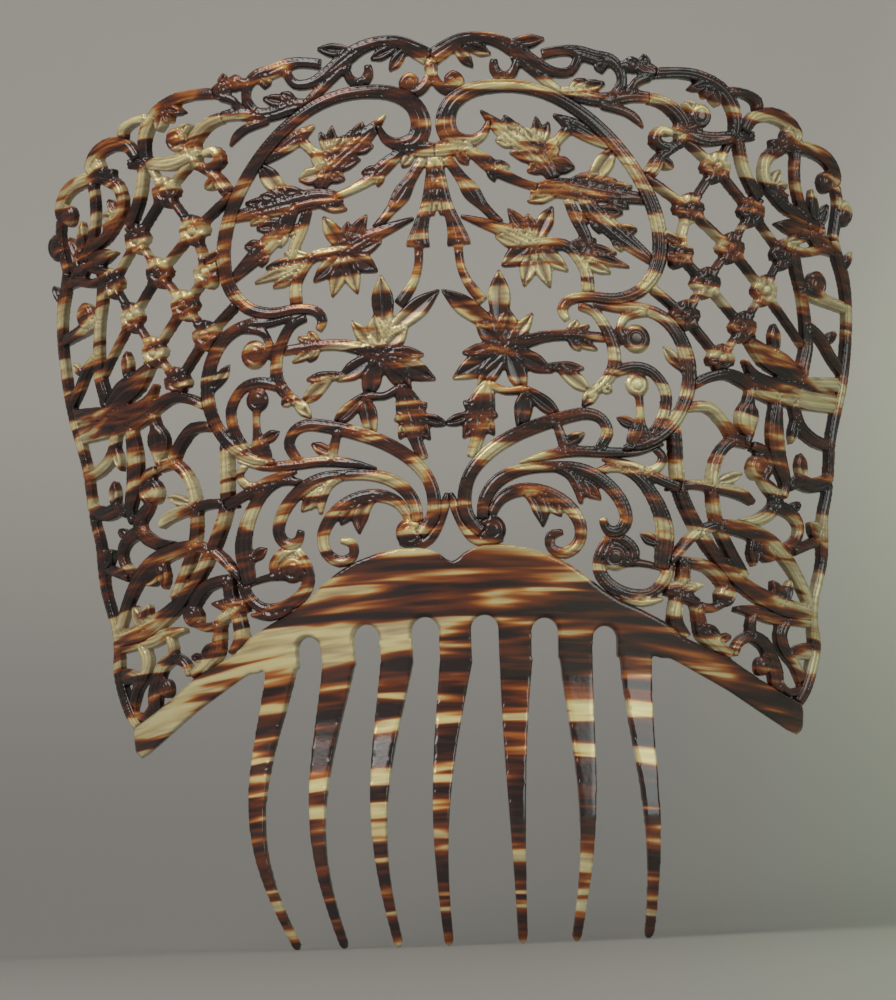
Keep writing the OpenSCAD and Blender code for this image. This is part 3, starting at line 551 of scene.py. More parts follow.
@dataclass
class Heading:
    """All of the carved ornament above the band."""

    motifs: list[Motif] = field(default_factory=lambda: [
        Motif("oval_scroll", """
            S 14.6,128,1.2 13,124.6,2.4 9.5,122.8,3.2 5,123.6,5 3.2,127.4,5.4 4.8,132.4,4.6 9.5,135.6,3.8 \
              16,136.8,3.4 24,136.4,3.2 32,133.8,3.2 40,128.8,3.4 47,122.2,3.6 53,114,3.7 57,105,3.9 \
              58.3,96.5,4 56.6,89,3.7 52.2,83.8,3.2 46,81.7,2.9 39,82.2,2.6 33.8,81.4,2.6 31.8,78.8,2.8 \
              33,76.2,2
            S -1,120.8,3.6 4,121.2,4 9,121.6,3.2
            S 8,121.4,2 13.5,117.2,4 17.5,114.2,3 22.5,111.8,2.2 26.5,110.6,2
            F 14 117 19.6,116,2.4 15.4,112.2,2.6
            L 5.5 120.6 8.8 116.8 2.8
            L 58 100 64 96.5 2.6
        """),
        Motif("middle_scroll", """
            S 36,79.8,2 40.2,78.2,2.6 43.2,73.8,3 44.9,68.6,3.2 44.7,63.6,3.4 42.2,60,3 38.6,57,2.4
            S 40,80.5,2.2 46,79.4,2.6 52,79.4,3 58,77.2,3.4 62.2,72.6,3.7 64.5,66,3.9 64.4,59,3.7 \
              62,52.6,3.4 58,47.6,3.6 52.5,44.2,3.2 46.5,42.6,1.6
            S 44,62.4,3 50,64,2.8 55,62.6,2.8 58.2,57.6,3 57.4,51.4,3 54.6,46.6,3
            S 54,78.6,2.6 48.8,77.4,2.4 46.6,73.8,2 48,70.4,2.4
            D 50.8 71.4 3.7
            D 50.6 59.4 3.1
            S 50.6,60,3 51.2,55,2 51.2,50,2.6 50.6,47,5 48.6,43.6,3.4
            L 50.5 48.5 45 50.6 3
            L 63 63.5 58 69.4 3.2
            F 41 59.5 36,53.6,3.4 44,57.4,3
        """),
        Motif("pendant", """
            S 0.4,119.4,3 1.4,113,2.8 2.8,106.6,2.8 4.4,101.4,4 5.2,98,5.6 5.4,96.2,6.4
            S 5.2,96.4,2.2 5.6,91,2.2 7.6,86,2.6 11.2,81.4,3
            S 3,118.8,2.6 6.6,113.6,3 9.2,109.8,4.6 12.4,105.8,2.6 16.4,101.4,2.4
            L 1.5 119 -1 104 2
        """, paired=False),
        Motif("upper_blossom", """
            F 25 96 18.6,105.2,3.8 23.8,103.8,3.4 30.4,105.6,4.2 16.4,90.4,4.6 22,85,4.2 28.8,84.6,4.2 \
              33.8,88.8,4 15,98,4.4
            S 6.2,103.6,0.8 12,101.6,2.6 19,99,3.8 25,96,4
            S 25,96,3.6 33,95.6,3 36.6,92,2.8 38.6,88,3.2 38.6,83,3.6
            F 33.5 95 41.6,97,3 46.8,93.6,3.4 50,90,3
            L 37 91.5 45 88.4 2.8
            S 34.4,107.6,2.6 36.2,103,3.2 38.4,98.6,3 39.6,95.4,2.6
            L 35.6 104 40.6 101.6 2.6
        """),
        Motif("lower_blossom", """
            F 17 69 5,68.2,4 2.2,61.6,5.6 8.6,58.6,4.8 21,57.2,5 28.6,62.6,4.8 24,78,3.6 17.6,79.4,5.4 9,76,5
            L 14.6 74 0.3 84.8 5
            L 15.2 74 15.6 89.4 5.6
            S 17,69,4 26,71.8,3 34,72.2,2.6 43,71.6,2.4
            F 33 72 35.8,76.2,2.8 38.8,74.8,2.4 40.6,68.4,2.6 36,68.2,2.6
            L 27 64.2 37 63.6 3
            L 30 64 38.6 57.4 4
        """),
        Motif("bellflower", """
            S 11.6,60.6,2.6 10,56,6.6 8.8,51,7.6 8.4,47,3.8 6.4,41,3
            F 8.8 53 4.4,46,3.4 12.6,46.6,3.4 4.8,55.6,3 13.8,51.6,3.2
            L 8 52.4 -0.6 49.8 3
            L 19.6 47.6 21.4 58.6 4.6
            L 21 58.6 30.4 51 4
            S 11.4,60.2,2.4 16,58,2 21,58.4,2.2
        """),
        Motif("spray", """
            S 12.4,130.6,0.6 17,126.2,3.8 22.8,121.6,4.4 28,117.4,4.4 31,112.6,3.4
            F 22.5 122 18.6,129.2,3.4 22,127.2,3 16,122.8,3.2
            F 29.4 117 19.6,119.6,3 24,114.6,3.6 26.4,124,3.6 32,123.6,4 36.6,115.6,4.4
            F 27.6 121 23.6,126,2.8 26.9,128.8,2.8 30.2,127.4,2.6
            S 31.4,129.2,0.8 36,126.6,4 41,123.8,3.8 46,121.4,2.4
            S 30,119,2.6 32.6,122.8,2.4 36,126.4,3
        """),
        Motif("leaf_branch", """
            S 24.6,109.6,3 31,110.4,5 39,109.6,5.2 47,108.6,4 57,107.6,2.6
            F 33 110 23.8,106.8,3.4 43,113.8,4
            F 42 110 47.4,112.6,3.4 51.6,111,3 50.4,105.2,3
            L 40 111 47.4 121 4.8
            S 38,109,3 40.6,104.6,4.6 46,99.6,5 51,95.6,4.2 56.4,91.4,2.4
            F 41 104.6 42.2,98.6,3.4 48.8,104,3.4
            F 46.5 99.4 47.8,94,3.4 52.4,99.8,3.4
        """),
        Motif("acanthus_outer", """
            S 8.4,21.4,3 4.6,25.8,3.6 4.1,31.4,3.6 6,37,3.4 10.6,42,3.6 17,46,3.6 24,48.8,3.6 31,50.8,3.4 \
              37,51.8,3.1 41,50.3,2.9 42.4,46.6,2.9 40,42.6,2.4
            S 29,49.6,2.2 30.2,45.6,2.6 31,42,2.4
            L 30.4 43.6 36.4 46.8 3
            S 18.8,39.2,0.6 26,41,2.4 34,42,2.8 42,41.6,2.7 50,42,2.4 56.5,45,3
        """),
        Motif("acanthus_middle", """
            S 8.6,24.8,3 9.4,30,3.3 13.2,34.8,3.5 19.4,37.4,3 27,38,2.8 34.5,37.4,3.2 40.5,34.4,3.5 \
              45,29.4,3.5 46.5,24.2,3.3 44.4,21,3 41.4,21.4,2.8 40.2,24.4,2
            S 28,38,2.4 32,36,2.8 34.2,32.4,3 34.6,28.2,1
            F 34 35 40,29.2,3.6 37.4,29.6,2.6
        """),
        Motif("acanthus_inner", """
            S 10.6,25.4,2.4 13.6,30,3 19,32.2,3.4 25.5,31.3,3.6 31,28,3.6 34.2,23,3.3 33.6,18,3 \
              29.9,15.4,2.9 26.4,16.8,2.6 26.4,20,2.6 29.6,21,1.4
            L 20 31.8 24.4 22.4 4.2 1.6
            L 25 31 29.4 25 3.2
            D 10.8 22 3.8
            S 13.6,19.8,1.8 9.4,18.6,2.2 5.4,20.2,2.4 2.6,24.6,2.2 1,29.6,2.4 0.4,32,1.2
        """),
        Motif("acanthus_wing", """
            S 38.6,36.4,1.6 45,37.8,2.8 50.4,34.8,3.2 54.6,28.6,4 56.6,21.6,4.8 56,15.6,4.8 55.4,11,4
            L 55 17.5 50 20.2 3.2
            S 40.6,40.2,1.6 49,38,2.4 55.4,34.8,2.8 61.4,32.4,2.8
            S 44,38.8,2.6 47,37.4,3
            S 49.4,36.6,2.4 54.6,37.2,2.4 56.8,40.2,2.2 54.8,42.8,2.2
        """),
        Motif("ring_scroll", """
            S 42.6,20.4,2.2 39.6,15.8,3 38.8,10.8,3.5 41.4,6.8,3.6 46.4,4.4,3.2 52,4.6,2.7 56,8,3.2 57.4,12.4,3
            D 43 14.2 3.6
            S 42,19.8,2 46,18.6,2.6 48.4,15.6,2.6 47.6,12.6,2.2
            S 43,12.4,2.4 49.4,12.6,2 55,11.4,1.6
            S 44,3.6,2.4 50,2.2,2.4 55.4,3,0.8
        """),
        Motif("crest_leaf", """
            S -0.5,144,4.6 3.4,146.4,4.2 8,148.8,3.4 13,149.4,2.8 18,148.2,3.4 22.6,145.6,4.2 \
              27,142.6,3.6 32,140.2,2.6 36.4,140.4,2.4 38.6,143.6,2.4
            L 20 147.2 30 148.8 3.4
            L 6.5 147 11 141.8 3
            L 9 147.6 15.8 145 3
            S 21.5,144.6,2.4 26.6,140.6,2.6 30.8,137.2,2.6 34,134.4,2.6
            S 29,144.8,2.6 35,145.8,2.6 38.8,145.2,3.6 43,144,3.8 47,143.4,3.4 49.4,140.8,2.8 \
              49.6,137.2,2.6 47.6,134.2,3
            L 44 143.4 44.6 140 3.4
            S 30,134.6,2 37,134.6,4 44,133.2,3.6 52,134.4,3.2 57,134.2,2.6
            F 36 135 40.4,138.4,3.4 45.4,137.6,3.4
            S 44,132,2.6 50,130.4,2.4 53,128.6,2.4 54.8,126.4,0.8
            D 52.6 142.4 2.2
            S 49.4,142,2.2 52.6,142.4,2.6 56,141.4,4.4 59,140.6,3
            L 56 141 56 145.4 3
            S 52,135,2.6 53.6,138,2.2 57,139.6,2.4
            S 16.6,143.6,1.8 16.6,141,2.8 18.6,139,2.8 21.4,140.2,2.4 22.6,143.4,2
            S 18.6,140,3.4 18.4,137.2,3
        """),
        Motif("crest_finial", """
            S 0.3,142.6,2.6 0.6,139.4,2.6 3,136.4,2.6 6.2,136,2.6 7.6,138.4,2.2 5.6,140,2.2 3.8,138.6,1.6
            D 5.4 138.6 1.9
            L 0 139 0 145 3.4
        """, paired=False),
        Motif("shoulder_arch", """
            S 57,140.2,3.2 62,140.8,2.8 68,141,2.8 73.4,139.6,3 77.6,136.8,3.2 80,132.6,3.2 80.4,128.4,3 \
              79.6,125.2,3
            S 56,134.2,2.6 61,133.2,2.8 64.8,130.4,3 66.6,126.6,3 65,122.6,2.6
            S 64,126.4,2.6 68,125,3.4 73,124.2,3.8 79,125.2,3.2 85,126,2.6
            D 70.4 130 3.3
            S 66.6,126.4,2.8 69,127.6,3 70.4,130,3.4
            L 70.4 131 66.8 133.6 2.8
            F 74 139 68.4,137,2.8 72.2,134.8,3 75.8,133,3
            S 65.4,122.6,2.4 61.6,121.4,2.6 58.8,123,2.4 60,125.8,2.4 63,125.2,2
            S 65,122.6,2.4 60,119,2.4 58.4,116.4,3 56.6,114,3
            L 60 118.6 62.8 115.8 2.6
            S 78.6,137,2.6 83,137,2.2 86.4,135.2,2.6 86.4,132,2.6
            S 80.8,125.4,2.8 81.8,119,2.8 83.6,114,2.8 86,109.6,2.8
        """, turned=True),
        Motif("shoulder_scroll", """
            S 82.4,127,3.2 85.2,130.8,3.6 90,132.2,3.8 94.6,130.8,3.8 97.2,127.4,3.6 95.6,125.6,3.4
            D 94.4 126.8 2.4
            S 89.6,124,3.4 95,124.6,3.8 101,124.4,3.6 105.6,122.4,3.8 107.8,118.2,3.8 106.4,114.6,3.8
            D 104.8 116.4 3
            S 92.6,123.6,3.6 88.8,120.8,3.6 87.6,116.4,3.2 89.4,112.6,3.4 93.4,110,3.2
            F 89 112.6 91.8,118,2.8 94,114,2.8
            S 96.6,123,2.8 96.2,115.6,2.8 97.6,109,2.8 100.4,103.6,2.8
            S 88.6,112.8,2.4 92.8,108.6,3 98,106,2.6 102,103.6,2.8
            D 109.6 108.8 3.6
            S 107.2,117,3 108.2,112,3 107.4,106,3.2 106.4,101,3
        """, turned=True),
        Trellis("lattice", "", turned=True),
        Motif("rim", """
            S 106.6,101.6,3 107.6,97,3.6 109.2,92,3.8 110,85,3.4 109.8,78,3.4 109,70,3.6 107.6,62,4 \
              105.6,54,3.6 104,47,3.2 103.4,40,3.2 102.6,33,3.2 101.2,27,3.4 100.8,21,4 100.6,15,3.4 \
              99.2,9,3.2 97.6,3,3.2 97.2,-3,3.4 97.6,-9,4.4 96.4,-15,4.6 94.2,-21,4.4 91.6,-25,3.6
            L 108.6 93 111.6 99 3
            S 91.6,33.6,2.4 94.4,35.4,4 98,34.6,4 102.6,36,4.4
            L 95.6 35.4 95 43 4
            L 100.8 20 97 24.6 4.4
        """, turned=True),
        Motif("palmette", """
            F 101.6 102.4 90.4,103.8,4 100.6,114,3.4 105,110.6,3.4 93,99,3
            D 101.6 102.6 3.4
            S 92.6,97.8,2.4 98,96.8,2.4 103.6,98.6,3 107.6,98.2,3
            S 102,102.6,3 104.4,99.4,3
            S 95,97,3.4 95.8,91.6,3.4 97,85.8,3 97.8,79,3.4 98,72,4 96.6,66,4.4 96,61,4
            D 101 88.4 3.9
            S 97,87,3 101,85.6,3.6 105.4,84.4,3 109.6,83.6,3
            S 98,77.6,2.6 101.8,74.6,3 105,69.6,3 108,66,3
            L 103 72.8 106.4 76.8 3
        """, turned=True),
        Motif("cross_scroll", """
            S 66,59.4,2.6 70.6,61.8,2.8 76,62.8,3 81,60.8,3.4 87,57.8,4 96,57.4,5 106.6,57.2,5
            S 80.4,67,0.8 83.4,62.6,3 90,60.8,3.4 98,61.8,3.6 107.6,62.6,4
            S 81.6,72.4,2.2 86,68.4,5.6 91,66,6.6 95.4,62.6,4.4
            L 89 69 88.8 77 3.6
            S 82,59.4,2.6 81.2,55.8,3.4 80.8,53.6,6.6 80.6,50.2,7 80.8,46.6,2.6 79.8,44.4,2.4
            S 89,57,3.4 88.2,49,5.6 88.8,41.6,5.4 90.6,35,3.6 89.6,31,3
            S 93.6,57,3.4 95.2,50.4,3.6 99.4,46.8,3.2 104.4,45.6,3
            L 94.4 53 92.6 45.4 3
        """, turned=True),
        Motif("lens_frame", """
            S 64,53.6,2.8 70,54,2.8 74.2,50.2,2.8 76.6,46,3
            S 60.6,50,3 61,45,3 61.2,38,3 61.8,32,3 64,26,3.1 67.2,20,3.1 71.2,14,3.1 76,8.6,3.6 \
              82,4.4,4.4 89,1.2,5 97,0,4
            S 81,44.8,3 76.4,45.2,3.2 72.6,41.6,3 70.8,36,3 70.6,29.4,3 71.6,23,3 74.4,16.4,3 78.4,9,3
            S 57.6,12.6,2.6 60.6,15.4,2.4 65,20,2.8 71,22.6,3.2 79,21.6,4.2 86,18.6,4.2 91,13.2,3.8 \
              94.6,6.6,3.6 97,1,3.4
            S 58.6,32.8,2.4 66,33.4,2.6 72,32.6,2.8 78,31.4,3.2 81.4,29,1.6
            L 71.4 34 78.6 36.6 3
            L 81.5 20.5 81 12 4
            L 82 17 87 14 4
            F 89 1 86,8.4,4 91,8.8,3.6
        """, turned=True),
        Motif("side_volutes", """
            D 83 38.6 3.5
            S 81.6,44.2,2.4 84.4,43,3 86.2,38.8,3 84.4,35.2,3 87.4,31.6,3.8 87,27.6,4.2 82.6,24.4,3.6 \
              77.6,23.2,3
            S 86.8,28.6,3.4 91.6,27,3.4 94,23.4,3.2 93,19.4,3 89.6,17,3
            L 91.4 27 94.6 29.6 3
            S 92.4,16.6,2.8 96,18.4,3 100.6,20.4,3.4
            S 87,30.6,3.4 90,32,3
        """, turned=True),
        Motif("corner_scroll", """
            S 60.6,12.4,3.4 63,12.8,3 68.4,11.6,3 72,8,3.2 73.4,4.6,3.6
            D 73 4.2 3.2
            S 62.2,12.6,3 61.6,8,3.2 60,3,3.2 59.2,-3,3.6 61.4,-7.6,3.8
            S 57,5.6,3 61.6,5.8,4.6 66.8,6.8,0.8
            S 60.6,4,2.6 64.6,2.2,2.6 65.6,-2,3.2 66.4,-6,3.8 69,-8.4,3.6 73.6,-12.4,3.4
            L 65.5 -4 70.8 -6.4 3
            L 69.6 -7.6 74 -7 2.6
            S 64.6,1.4,2.4 69,0.6,2.4 73,2.6,2.4
        """, turned=True),
        Motif("corner_fan", """
            S 75.4,0.6,1.4 80.6,0,3.2 86,-1.4,4 91,-1,5 96.6,-2,4
            S 80.6,-0.4,2.6 79.6,-3.6,2.8 79.8,-7.4,3
            S 74.6,-11.8,2.6 76,-8.6,2.8 79.4,-6.8,3.2 83,-8.6,3.6 85,-12.8,4.4 86.2,-17.4,5 86.4,-22.6,3.6
            D 82.4 -14.6 2.7
            S 89.6,-2,4 87.8,-6.2,4.4 89,-10.6,3.4 91.6,-14,3.2 93.4,-18.4,3.2
            S 90,-11.6,3 93.6,-10.4,4.4 97,-10.6,4.4
            S 86.6,-18.6,2 89.6,-21.8,2.2 94.4,-20.4,2.4
        """, turned=True),
    ])

    def build(self, shell: bpy.types.Material) -> None:
        """Makes every motif in turn.

        Args:
            shell: the material of the sheet.
        """
        for motif in self.motifs:
            motif.build(shell)


@dataclass
class Saddle:
    """The plain band and the seven teeth, polished as one."""

    teeth: int = 7
    voxel: float = 0.46
    softening: int = 7
    # Strength of the painted shade line along the front edges.
    edge_shade: float = 0.5
    sheet: Sheet = field(default_factory=Sheet)

    def build(self, shell: bpy.types.Material) -> None:
        """Makes the band with its teeth.

        Args:
            shell: the material of the sheet.
        """
        nodes = ["band"] + [f"tooth_{i + 1}" for i in range(self.teeth)]
        piece = blank_from(nodes, "saddle_and_teeth")
        rim = front_edges(piece, self.sheet)
        remeshed(piece, self.voxel, self.softening)
        co = points_of(piece)
        depth = np.clip(self.sheet.depth(co), 0, self.sheet.thick)
        out = self.sheet.outward(co)
        near = np.full(len(co), 9.0)
        for i in np.flatnonzero((co[:, 2] > -6) | (np.abs(co[:, 0]) > 60)):
            near[i] = rim.find(Vector(co[i] + out[i] * depth[i]))[2]
        high = -0.45 * np.clip(1 - near / 0.9, 0, 1) ** 2
        set_points(piece, co + out * (high * (1 - depth / self.sheet.thick))[:, None])
        # Painted shade: a dark line just inside the front edges of the band and teeth.
        store_carving(piece, self.edge_shade * np.exp(-((near - 0.5) / 0.3) ** 2))
        finish_piece(piece, nodes, shell)


# ---- finishes -----------------------------------------------------------------


class Wire:
    """A socket that can be reckoned with."""

    def __init__(self, desk: "Desk", socket: bpy.types.NodeSocket) -> None:
        """Wraps a socket.

        Args:
            desk: the tree that the socket belongs to.
            socket: an output of one of its nodes.
        """
        self.desk = desk
        self.socket = socket

    def _with(self, operation: str, a: object, b: object) -> "Wire":
        """Adds one Math node.

        Args:
            operation: what the node does.
            a: its first value or wire.
            b: its second.

        Returns:
            The result.
        """
        return self.desk.add("ShaderNodeMath", {"operation": operation}, {0: a, 1: b})

    def __add__(self, other: object) -> "Wire":
        """self + other."""
        return self._with("ADD", self, other)

    __radd__ = __add__

    def __sub__(self, other: object) -> "Wire":
        """self - other."""
        return self._with("SUBTRACT", self, other)

    def __rsub__(self, other: object) -> "Wire":
        """other - self."""
        return self._with("SUBTRACT", other, self)

    def __mul__(self, other: object) -> "Wire":
        """self * other."""
        return self._with("MULTIPLY", self, other)

    __rmul__ = __mul__

    def __pow__(self, other: object) -> "Wire":
        """self ** other."""
        return self._with("POWER", self, other)


class Desk:
    """One material's node tree, and the ways to add to it."""

    def __init__(self, name: str) -> None:
        """Starts an empty material.

        Args:
            name: the material's name.
        """
        self.material = bpy.data.materials.new(name)
        self.material.use_nodes = True
        self.tree = self.material.node_tree
        self.shader = self.tree.nodes["Principled BSDF"]

    def add(self, kind: str, settings: dict, sockets: dict, out: int | str = 0) -> Wire:
        """Adds a node.

        Args:
            kind: the node's type.
            settings: its settings, which are set first; "stops" are a ramp's stops.
            sockets: a value or a wire for each of its inputs.
            out: the output to hand back.

        Returns:
            That output.
        """
        node = self.tree.nodes.new(kind)
        for key, value in settings.items():
            if key == "stops":
                ramp = node.color_ramp
                while len(ramp.elements) < len(value):
                    ramp.elements.new(1.0)
                for element, (place, colour) in zip(ramp.elements, value):
                    element.position = place
                    element.color = (*colour, 1.0)
            else:
                setattr(node, key, value)
        for key, value in sockets.items():
            self.put(node.inputs[key], value)
        return Wire(self, node.outputs[out])

    def axes(self, place: Wire) -> tuple[Wire, ...]:
        """Splits a point into its three numbers.

        Args:
            place: the wire that carries the point.

        Returns:
            Its x, y and z.
        """
        parts = self.add("ShaderNodeSeparateXYZ", {}, {0: place})
        return tuple(Wire(self, number) for number in parts.socket.node.outputs)

    def put(self, socket: bpy.types.NodeSocket, value: object) -> None:
        """Gives an input its value or its wire.

        Args:
            socket: the input.
            value: a number, a colour or a wire.
        """
        if isinstance(value, Wire):
            self.tree.links.new(value.socket, socket)
        else:
            socket.default_value = value

    def dress(self, **sockets: object) -> None:
        """Sets the shader's own inputs.

        Args:
            sockets: a value or a wire for each input; an underscore stands for a space.
        """
        for key, value in sockets.items():
            self.put(self.shader.inputs[key.replace("_", " ")], value)


@dataclass(frozen=True)
class Tortoiseshell:
    """Mottled, layered imitation shell: cream, honey, amber, red brown and near black."""

    black: tuple[float, float, float] = (0.020, 0.010, 0.009)
    brown: tuple[float, float, float] = (0.066, 0.020, 0.011)
    russet: tuple[float, float, float] = (0.190, 0.040, 0.010)
    amber: tuple[float, float, float] = (0.460, 0.145, 0.026)
    honey: tuple[float, float, float] = (0.560, 0.330, 0.110)
    cream: tuple[float, float, float] = (0.600, 0.500, 0.255)
    pale: tuple[float, float, float] = (0.680, 0.610, 0.370)
    # Painted shade: the colour multiplied into the cuts, the sawn walls and the band's edges.
    cut_shade: tuple[float, float, float] = (0.30, 0.17, 0.11)
    droop: float = 1.1
    name: str = "tortoiseshell"
    along: float = 36.0
    layers: float = 205.0
    darker: float = 0.0
    streaks: float = 0.14

    def make(self) -> bpy.types.Material:
        """Builds the material.

        Returns:
            The material.
        """
        desk = Desk(self.name)
        place = desk.add("ShaderNodeTexCoord", {}, {}, "Object")
        x, y, z = desk.axes(place)
        level = z + x * x * self.droop
        layer = desk.add("ShaderNodeCombineXYZ", {}, {0: x * self.along, 1: y * self.along, 2: level * self.layers})
        streak = desk.add("ShaderNodeCombineXYZ", {}, {0: x * 45.0, 1: y * 45.0, 2: level * 640.0})
        broad = desk.add("ShaderNodeTexNoise", {}, {"Vector": layer, "Scale": 1.0, "Detail": 2.2,
                                                      "Roughness": 0.5, "Distortion": 0.35}, 0)
        fine = desk.add("ShaderNodeTexNoise", {}, {"Vector": streak, "Scale": 1.0, "Detail": 3.0,
                                                     "Roughness": 0.6, "Distortion": 0.3}, 0)
        shade = broad * (1.0 - self.streaks) + fine * self.streaks - self.darker
        colour = desk.add("ShaderNodeValToRGB", {"stops": [
            (0.0, self.black), (0.425, self.black), (0.474, self.brown), (0.508, self.russet),
            (0.536, self.amber), (0.551, self.honey), (0.564, self.cream), (0.65, self.pale)]}, {0: shade})
        veil = desk.add("ShaderNodeTexNoise", {}, {"Vector": layer, "Scale": 2.6, "Detail": 2.0}, 0)
        warmth = desk.add("ShaderNodeMapRange", {}, {0: veil, 1: 0.5, 2: 0.72, 3: 0.0, 4: 0.5})
        warm = desk.add("ShaderNodeMix", {"data_type": "RGBA", "blend_type": "MIX"},
                        {0: warmth, 6: colour, 7: (*self.russet, 1.0)}, 2)
        cut = desk.add("ShaderNodeAttribute", {"attribute_name": "carving"}, {}, "Fac")
        # Painted shade: the colour is darkened by the carving value, in the cuts, on the sawn walls and along the
        # band's edges.
        cut_shaded = desk.add("ShaderNodeMix", {"data_type": "RGBA", "blend_type": "MULTIPLY"},
                         {0: cut * 0.85, 6: warm, 7: (*self.cut_shade, 1.0)}, 2)
        polish = desk.add("ShaderNodeTexNoise", {}, {"Vector": place, "Scale": 900.0, "Detail": 2.0}, 0)
        bump = desk.add("ShaderNodeBump", {}, {"Height": polish, "Strength": 0.05, "Distance": 0.0004})
        desk.dress(Base_Color=cut_shaded, Roughness=0.13 + cut * 0.22 + polish * 0.06, Normal=bump, IOR=1.54,
                   Coat_Weight=0.5, Coat_Roughness=0.06, Subsurface_Weight=0.0, Specular_IOR_Level=0.5)
        return desk.material


@dataclass(frozen=True)
class Paper:
    """The plain pale ground, with painted light that makes it brighter and greener to the right and lower down, and
    painted shade at floor level.
    """

    left: tuple[float, float, float] = (0.49, 0.465, 0.44)
    right: tuple[float, float, float] = (0.66, 0.70, 0.57)
    # Painted shade: the colour multiplied into the ground at floor level.
    foot: tuple[float, float, float] = (0.52, 0.52, 0.52)
    fade: float = 0.28

    def make(self) -> bpy.types.Material:
        """Builds the material.

        Returns:
            The material.
        """
        desk = Desk("ground_paper")
        place = desk.add("ShaderNodeTexCoord", {}, {}, "Object")
        x, _, z = desk.axes(place)
        # Painted light: the ground is painted brighter and greener to the right and lower down.
        blend = desk.add("ShaderNodeMapRange", {"interpolation_type": "SMOOTHSTEP"},
                         {0: x - z * 0.35, 1: 0.04, 2: 0.2})
        colour = desk.add("ShaderNodeMix", {"data_type": "RGBA"},
                          {0: blend, 6: (*self.left, 1.0), 7: (*self.right, 1.0)}, 2)
        grain = desk.add("ShaderNodeTexNoise", {}, {"Vector": place, "Scale": 300.0, "Detail": 3.0}, 0)
        bump = desk.add("ShaderNodeBump", {}, {"Height": grain, "Strength": 0.05, "Distance": 0.0005})
        # Painted shade: the ground is darkened at floor level, fading out over fade metres up the backdrop, so the
        # lit floor is no brighter than the backdrop.
        low = CAD_BOX[0][2]
        rise = desk.add("ShaderNodeMapRange", {"interpolation_type": "SMOOTHSTEP"},
                        {0: z, 1: low, 2: low + self.fade})
        floor_shaded = desk.add("ShaderNodeMix", {"data_type": "RGBA", "blend_type": "MULTIPLY"},
                         {0: 1.0 - rise, 6: colour, 7: (*self.foot, 1.0)}, 2)
        desk.dress(Base_Color=floor_shaded, Roughness=0.75, Normal=bump)
        return desk.material


# ---- the studio ---------------------------------------------------------------


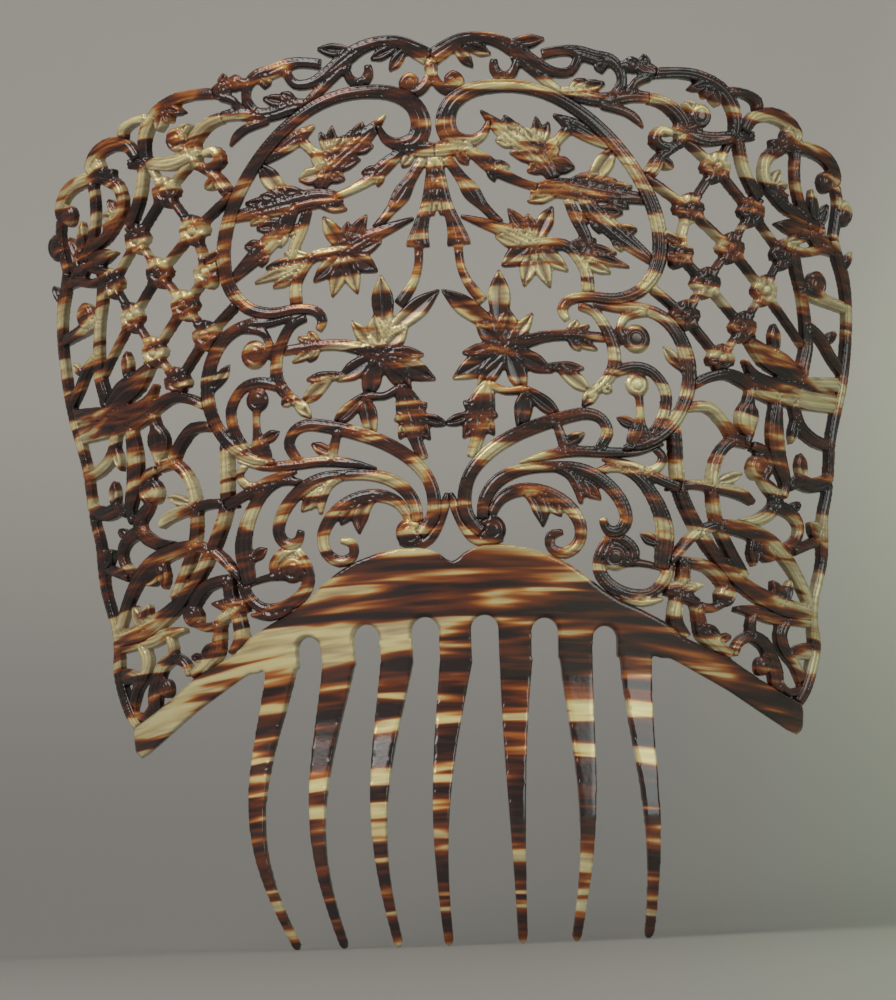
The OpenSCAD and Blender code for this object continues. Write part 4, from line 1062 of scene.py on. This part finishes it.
@dataclass
class Studio:
    """Floor, backdrop, soft lights and camera."""

    turn: float = math.radians(3.0)
    rise: float = math.radians(-4.0)
    roll: float = math.radians(2.0)
    distance: float = 1.0
    lens: float = 136.4
    shift: tuple[float, float] = (-0.006, 0.115)
    front: float = 1.5
    behind: float = 0.10
    bend: float = 0.90
    length: float = 3.6
    width: float = 3.2

    def ground(self) -> None:
        """A floor that curves up into a backdrop."""
        low = CAD_BOX[0][2]
        deselect()
        bpy.ops.mesh.primitive_grid_add(x_subdivisions=4, y_subdivisions=90, size=1.0)
        floor = bpy.context.active_object
        floor.name = "studio_ground"
        for v in floor.data.vertices:
            run = (v.co.y + 0.5) * self.length
            flat = self.front + self.behind
            turned = min(max((run - flat) / self.bend, 0.0), math.pi / 2)
            rest = max(run - flat - self.bend * math.pi / 2, 0.0)
            y = -self.front + min(run, flat) + self.bend * math.sin(turned)
            z = low + self.bend * (1 - math.cos(turned)) + rest
            v.co = (v.co.x * self.width, y, z)
        take_up(floor)
        bpy.ops.object.shade_smooth()
        floor.data.materials.append(Paper().make())

    def lamp(self, name: str, place: tuple[float, float, float], size: float, power: float,
             colour: tuple[float, float, float]) -> None:
        """Adds one soft light that faces the comb.

        Args:
            name: the light's name.
            place: where it stands, in metres.
            size: the side of its square.
            power: in watts.
            colour: its colour.
        """
        data = bpy.data.lights.new(name, "AREA")
        data.size, data.energy, data.color = size, power, colour
        lamp = bpy.data.objects.new(name, data)
        lamp.location = place
        lamp.rotation_euler = (Vector((0, 0, 0.03)) - Vector(place)).to_track_quat("-Z", "Y").to_euler()
        bpy.context.scene.collection.objects.link(lamp)

    def camera(self) -> None:
        """Stands the camera where the comb is seen from, a little low and to the right."""
        eye = Vector((math.sin(self.turn) * math.cos(self.rise), -math.cos(self.turn) * math.cos(self.rise),
                      math.sin(self.rise))) * self.distance
        ahead = -eye.normalized()
        right = ahead.cross(Vector((0, 0, 1))).normalized()
        up = right.cross(ahead)
        tilted = right * math.cos(self.roll) - up * math.sin(self.roll)
        upper = right * math.sin(self.roll) + up * math.cos(self.roll)
        data = bpy.data.cameras.new("view")
        data.lens, data.sensor_width = self.lens, 36.0
        data.shift_x, data.shift_y = self.shift
        data.clip_start = 0.05
        camera = bpy.data.objects.new("view", data)
        axes = Matrix((tilted, upper, -ahead)).transposed()
        camera.matrix_world = Matrix.Translation(eye) @ axes.to_4x4()
        bpy.context.scene.collection.objects.link(camera)
        bpy.context.scene.camera = camera

    def build(self) -> None:
        """Sets up everything round the comb."""
        self.camera()
        self.ground()
        self.lamp("window", (-0.7, -1.0, 0.75), 0.9, 12.5, (1.0, 0.97, 0.93))
        self.lamp("fill", (0.95, -0.8, 0.1), 0.8, 5.0, (0.93, 1.0, 0.95))
        self.lamp("top", (0.1, -0.25, 1.0), 0.5, 3.4, (1.0, 1.0, 1.0))
        world = bpy.data.worlds.new("room")
        world.use_nodes = True
        world.node_tree.nodes["Background"].inputs[0].default_value = (0.80, 0.84, 0.80, 1.0)
        world.node_tree.nodes["Background"].inputs[1].default_value = 0.22
        bpy.context.scene.world = world
        bpy.context.scene.view_settings.view_transform = "Standard"


def main() -> None:
    """Builds the comb and the studio."""
    logging.basicConfig(level=logging.INFO, format="%(message)s")
    Studio().build()
    shell = Tortoiseshell().make()
    Heading().build(shell)
    band_shell = Tortoiseshell(name="tortoiseshell_band", along=17.0, layers=200.0, darker=0.008,
                               streaks=0.07)
    Saddle().build(band_shell.make())
    deselect()
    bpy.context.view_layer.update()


if __name__ == "__main__":
    main()
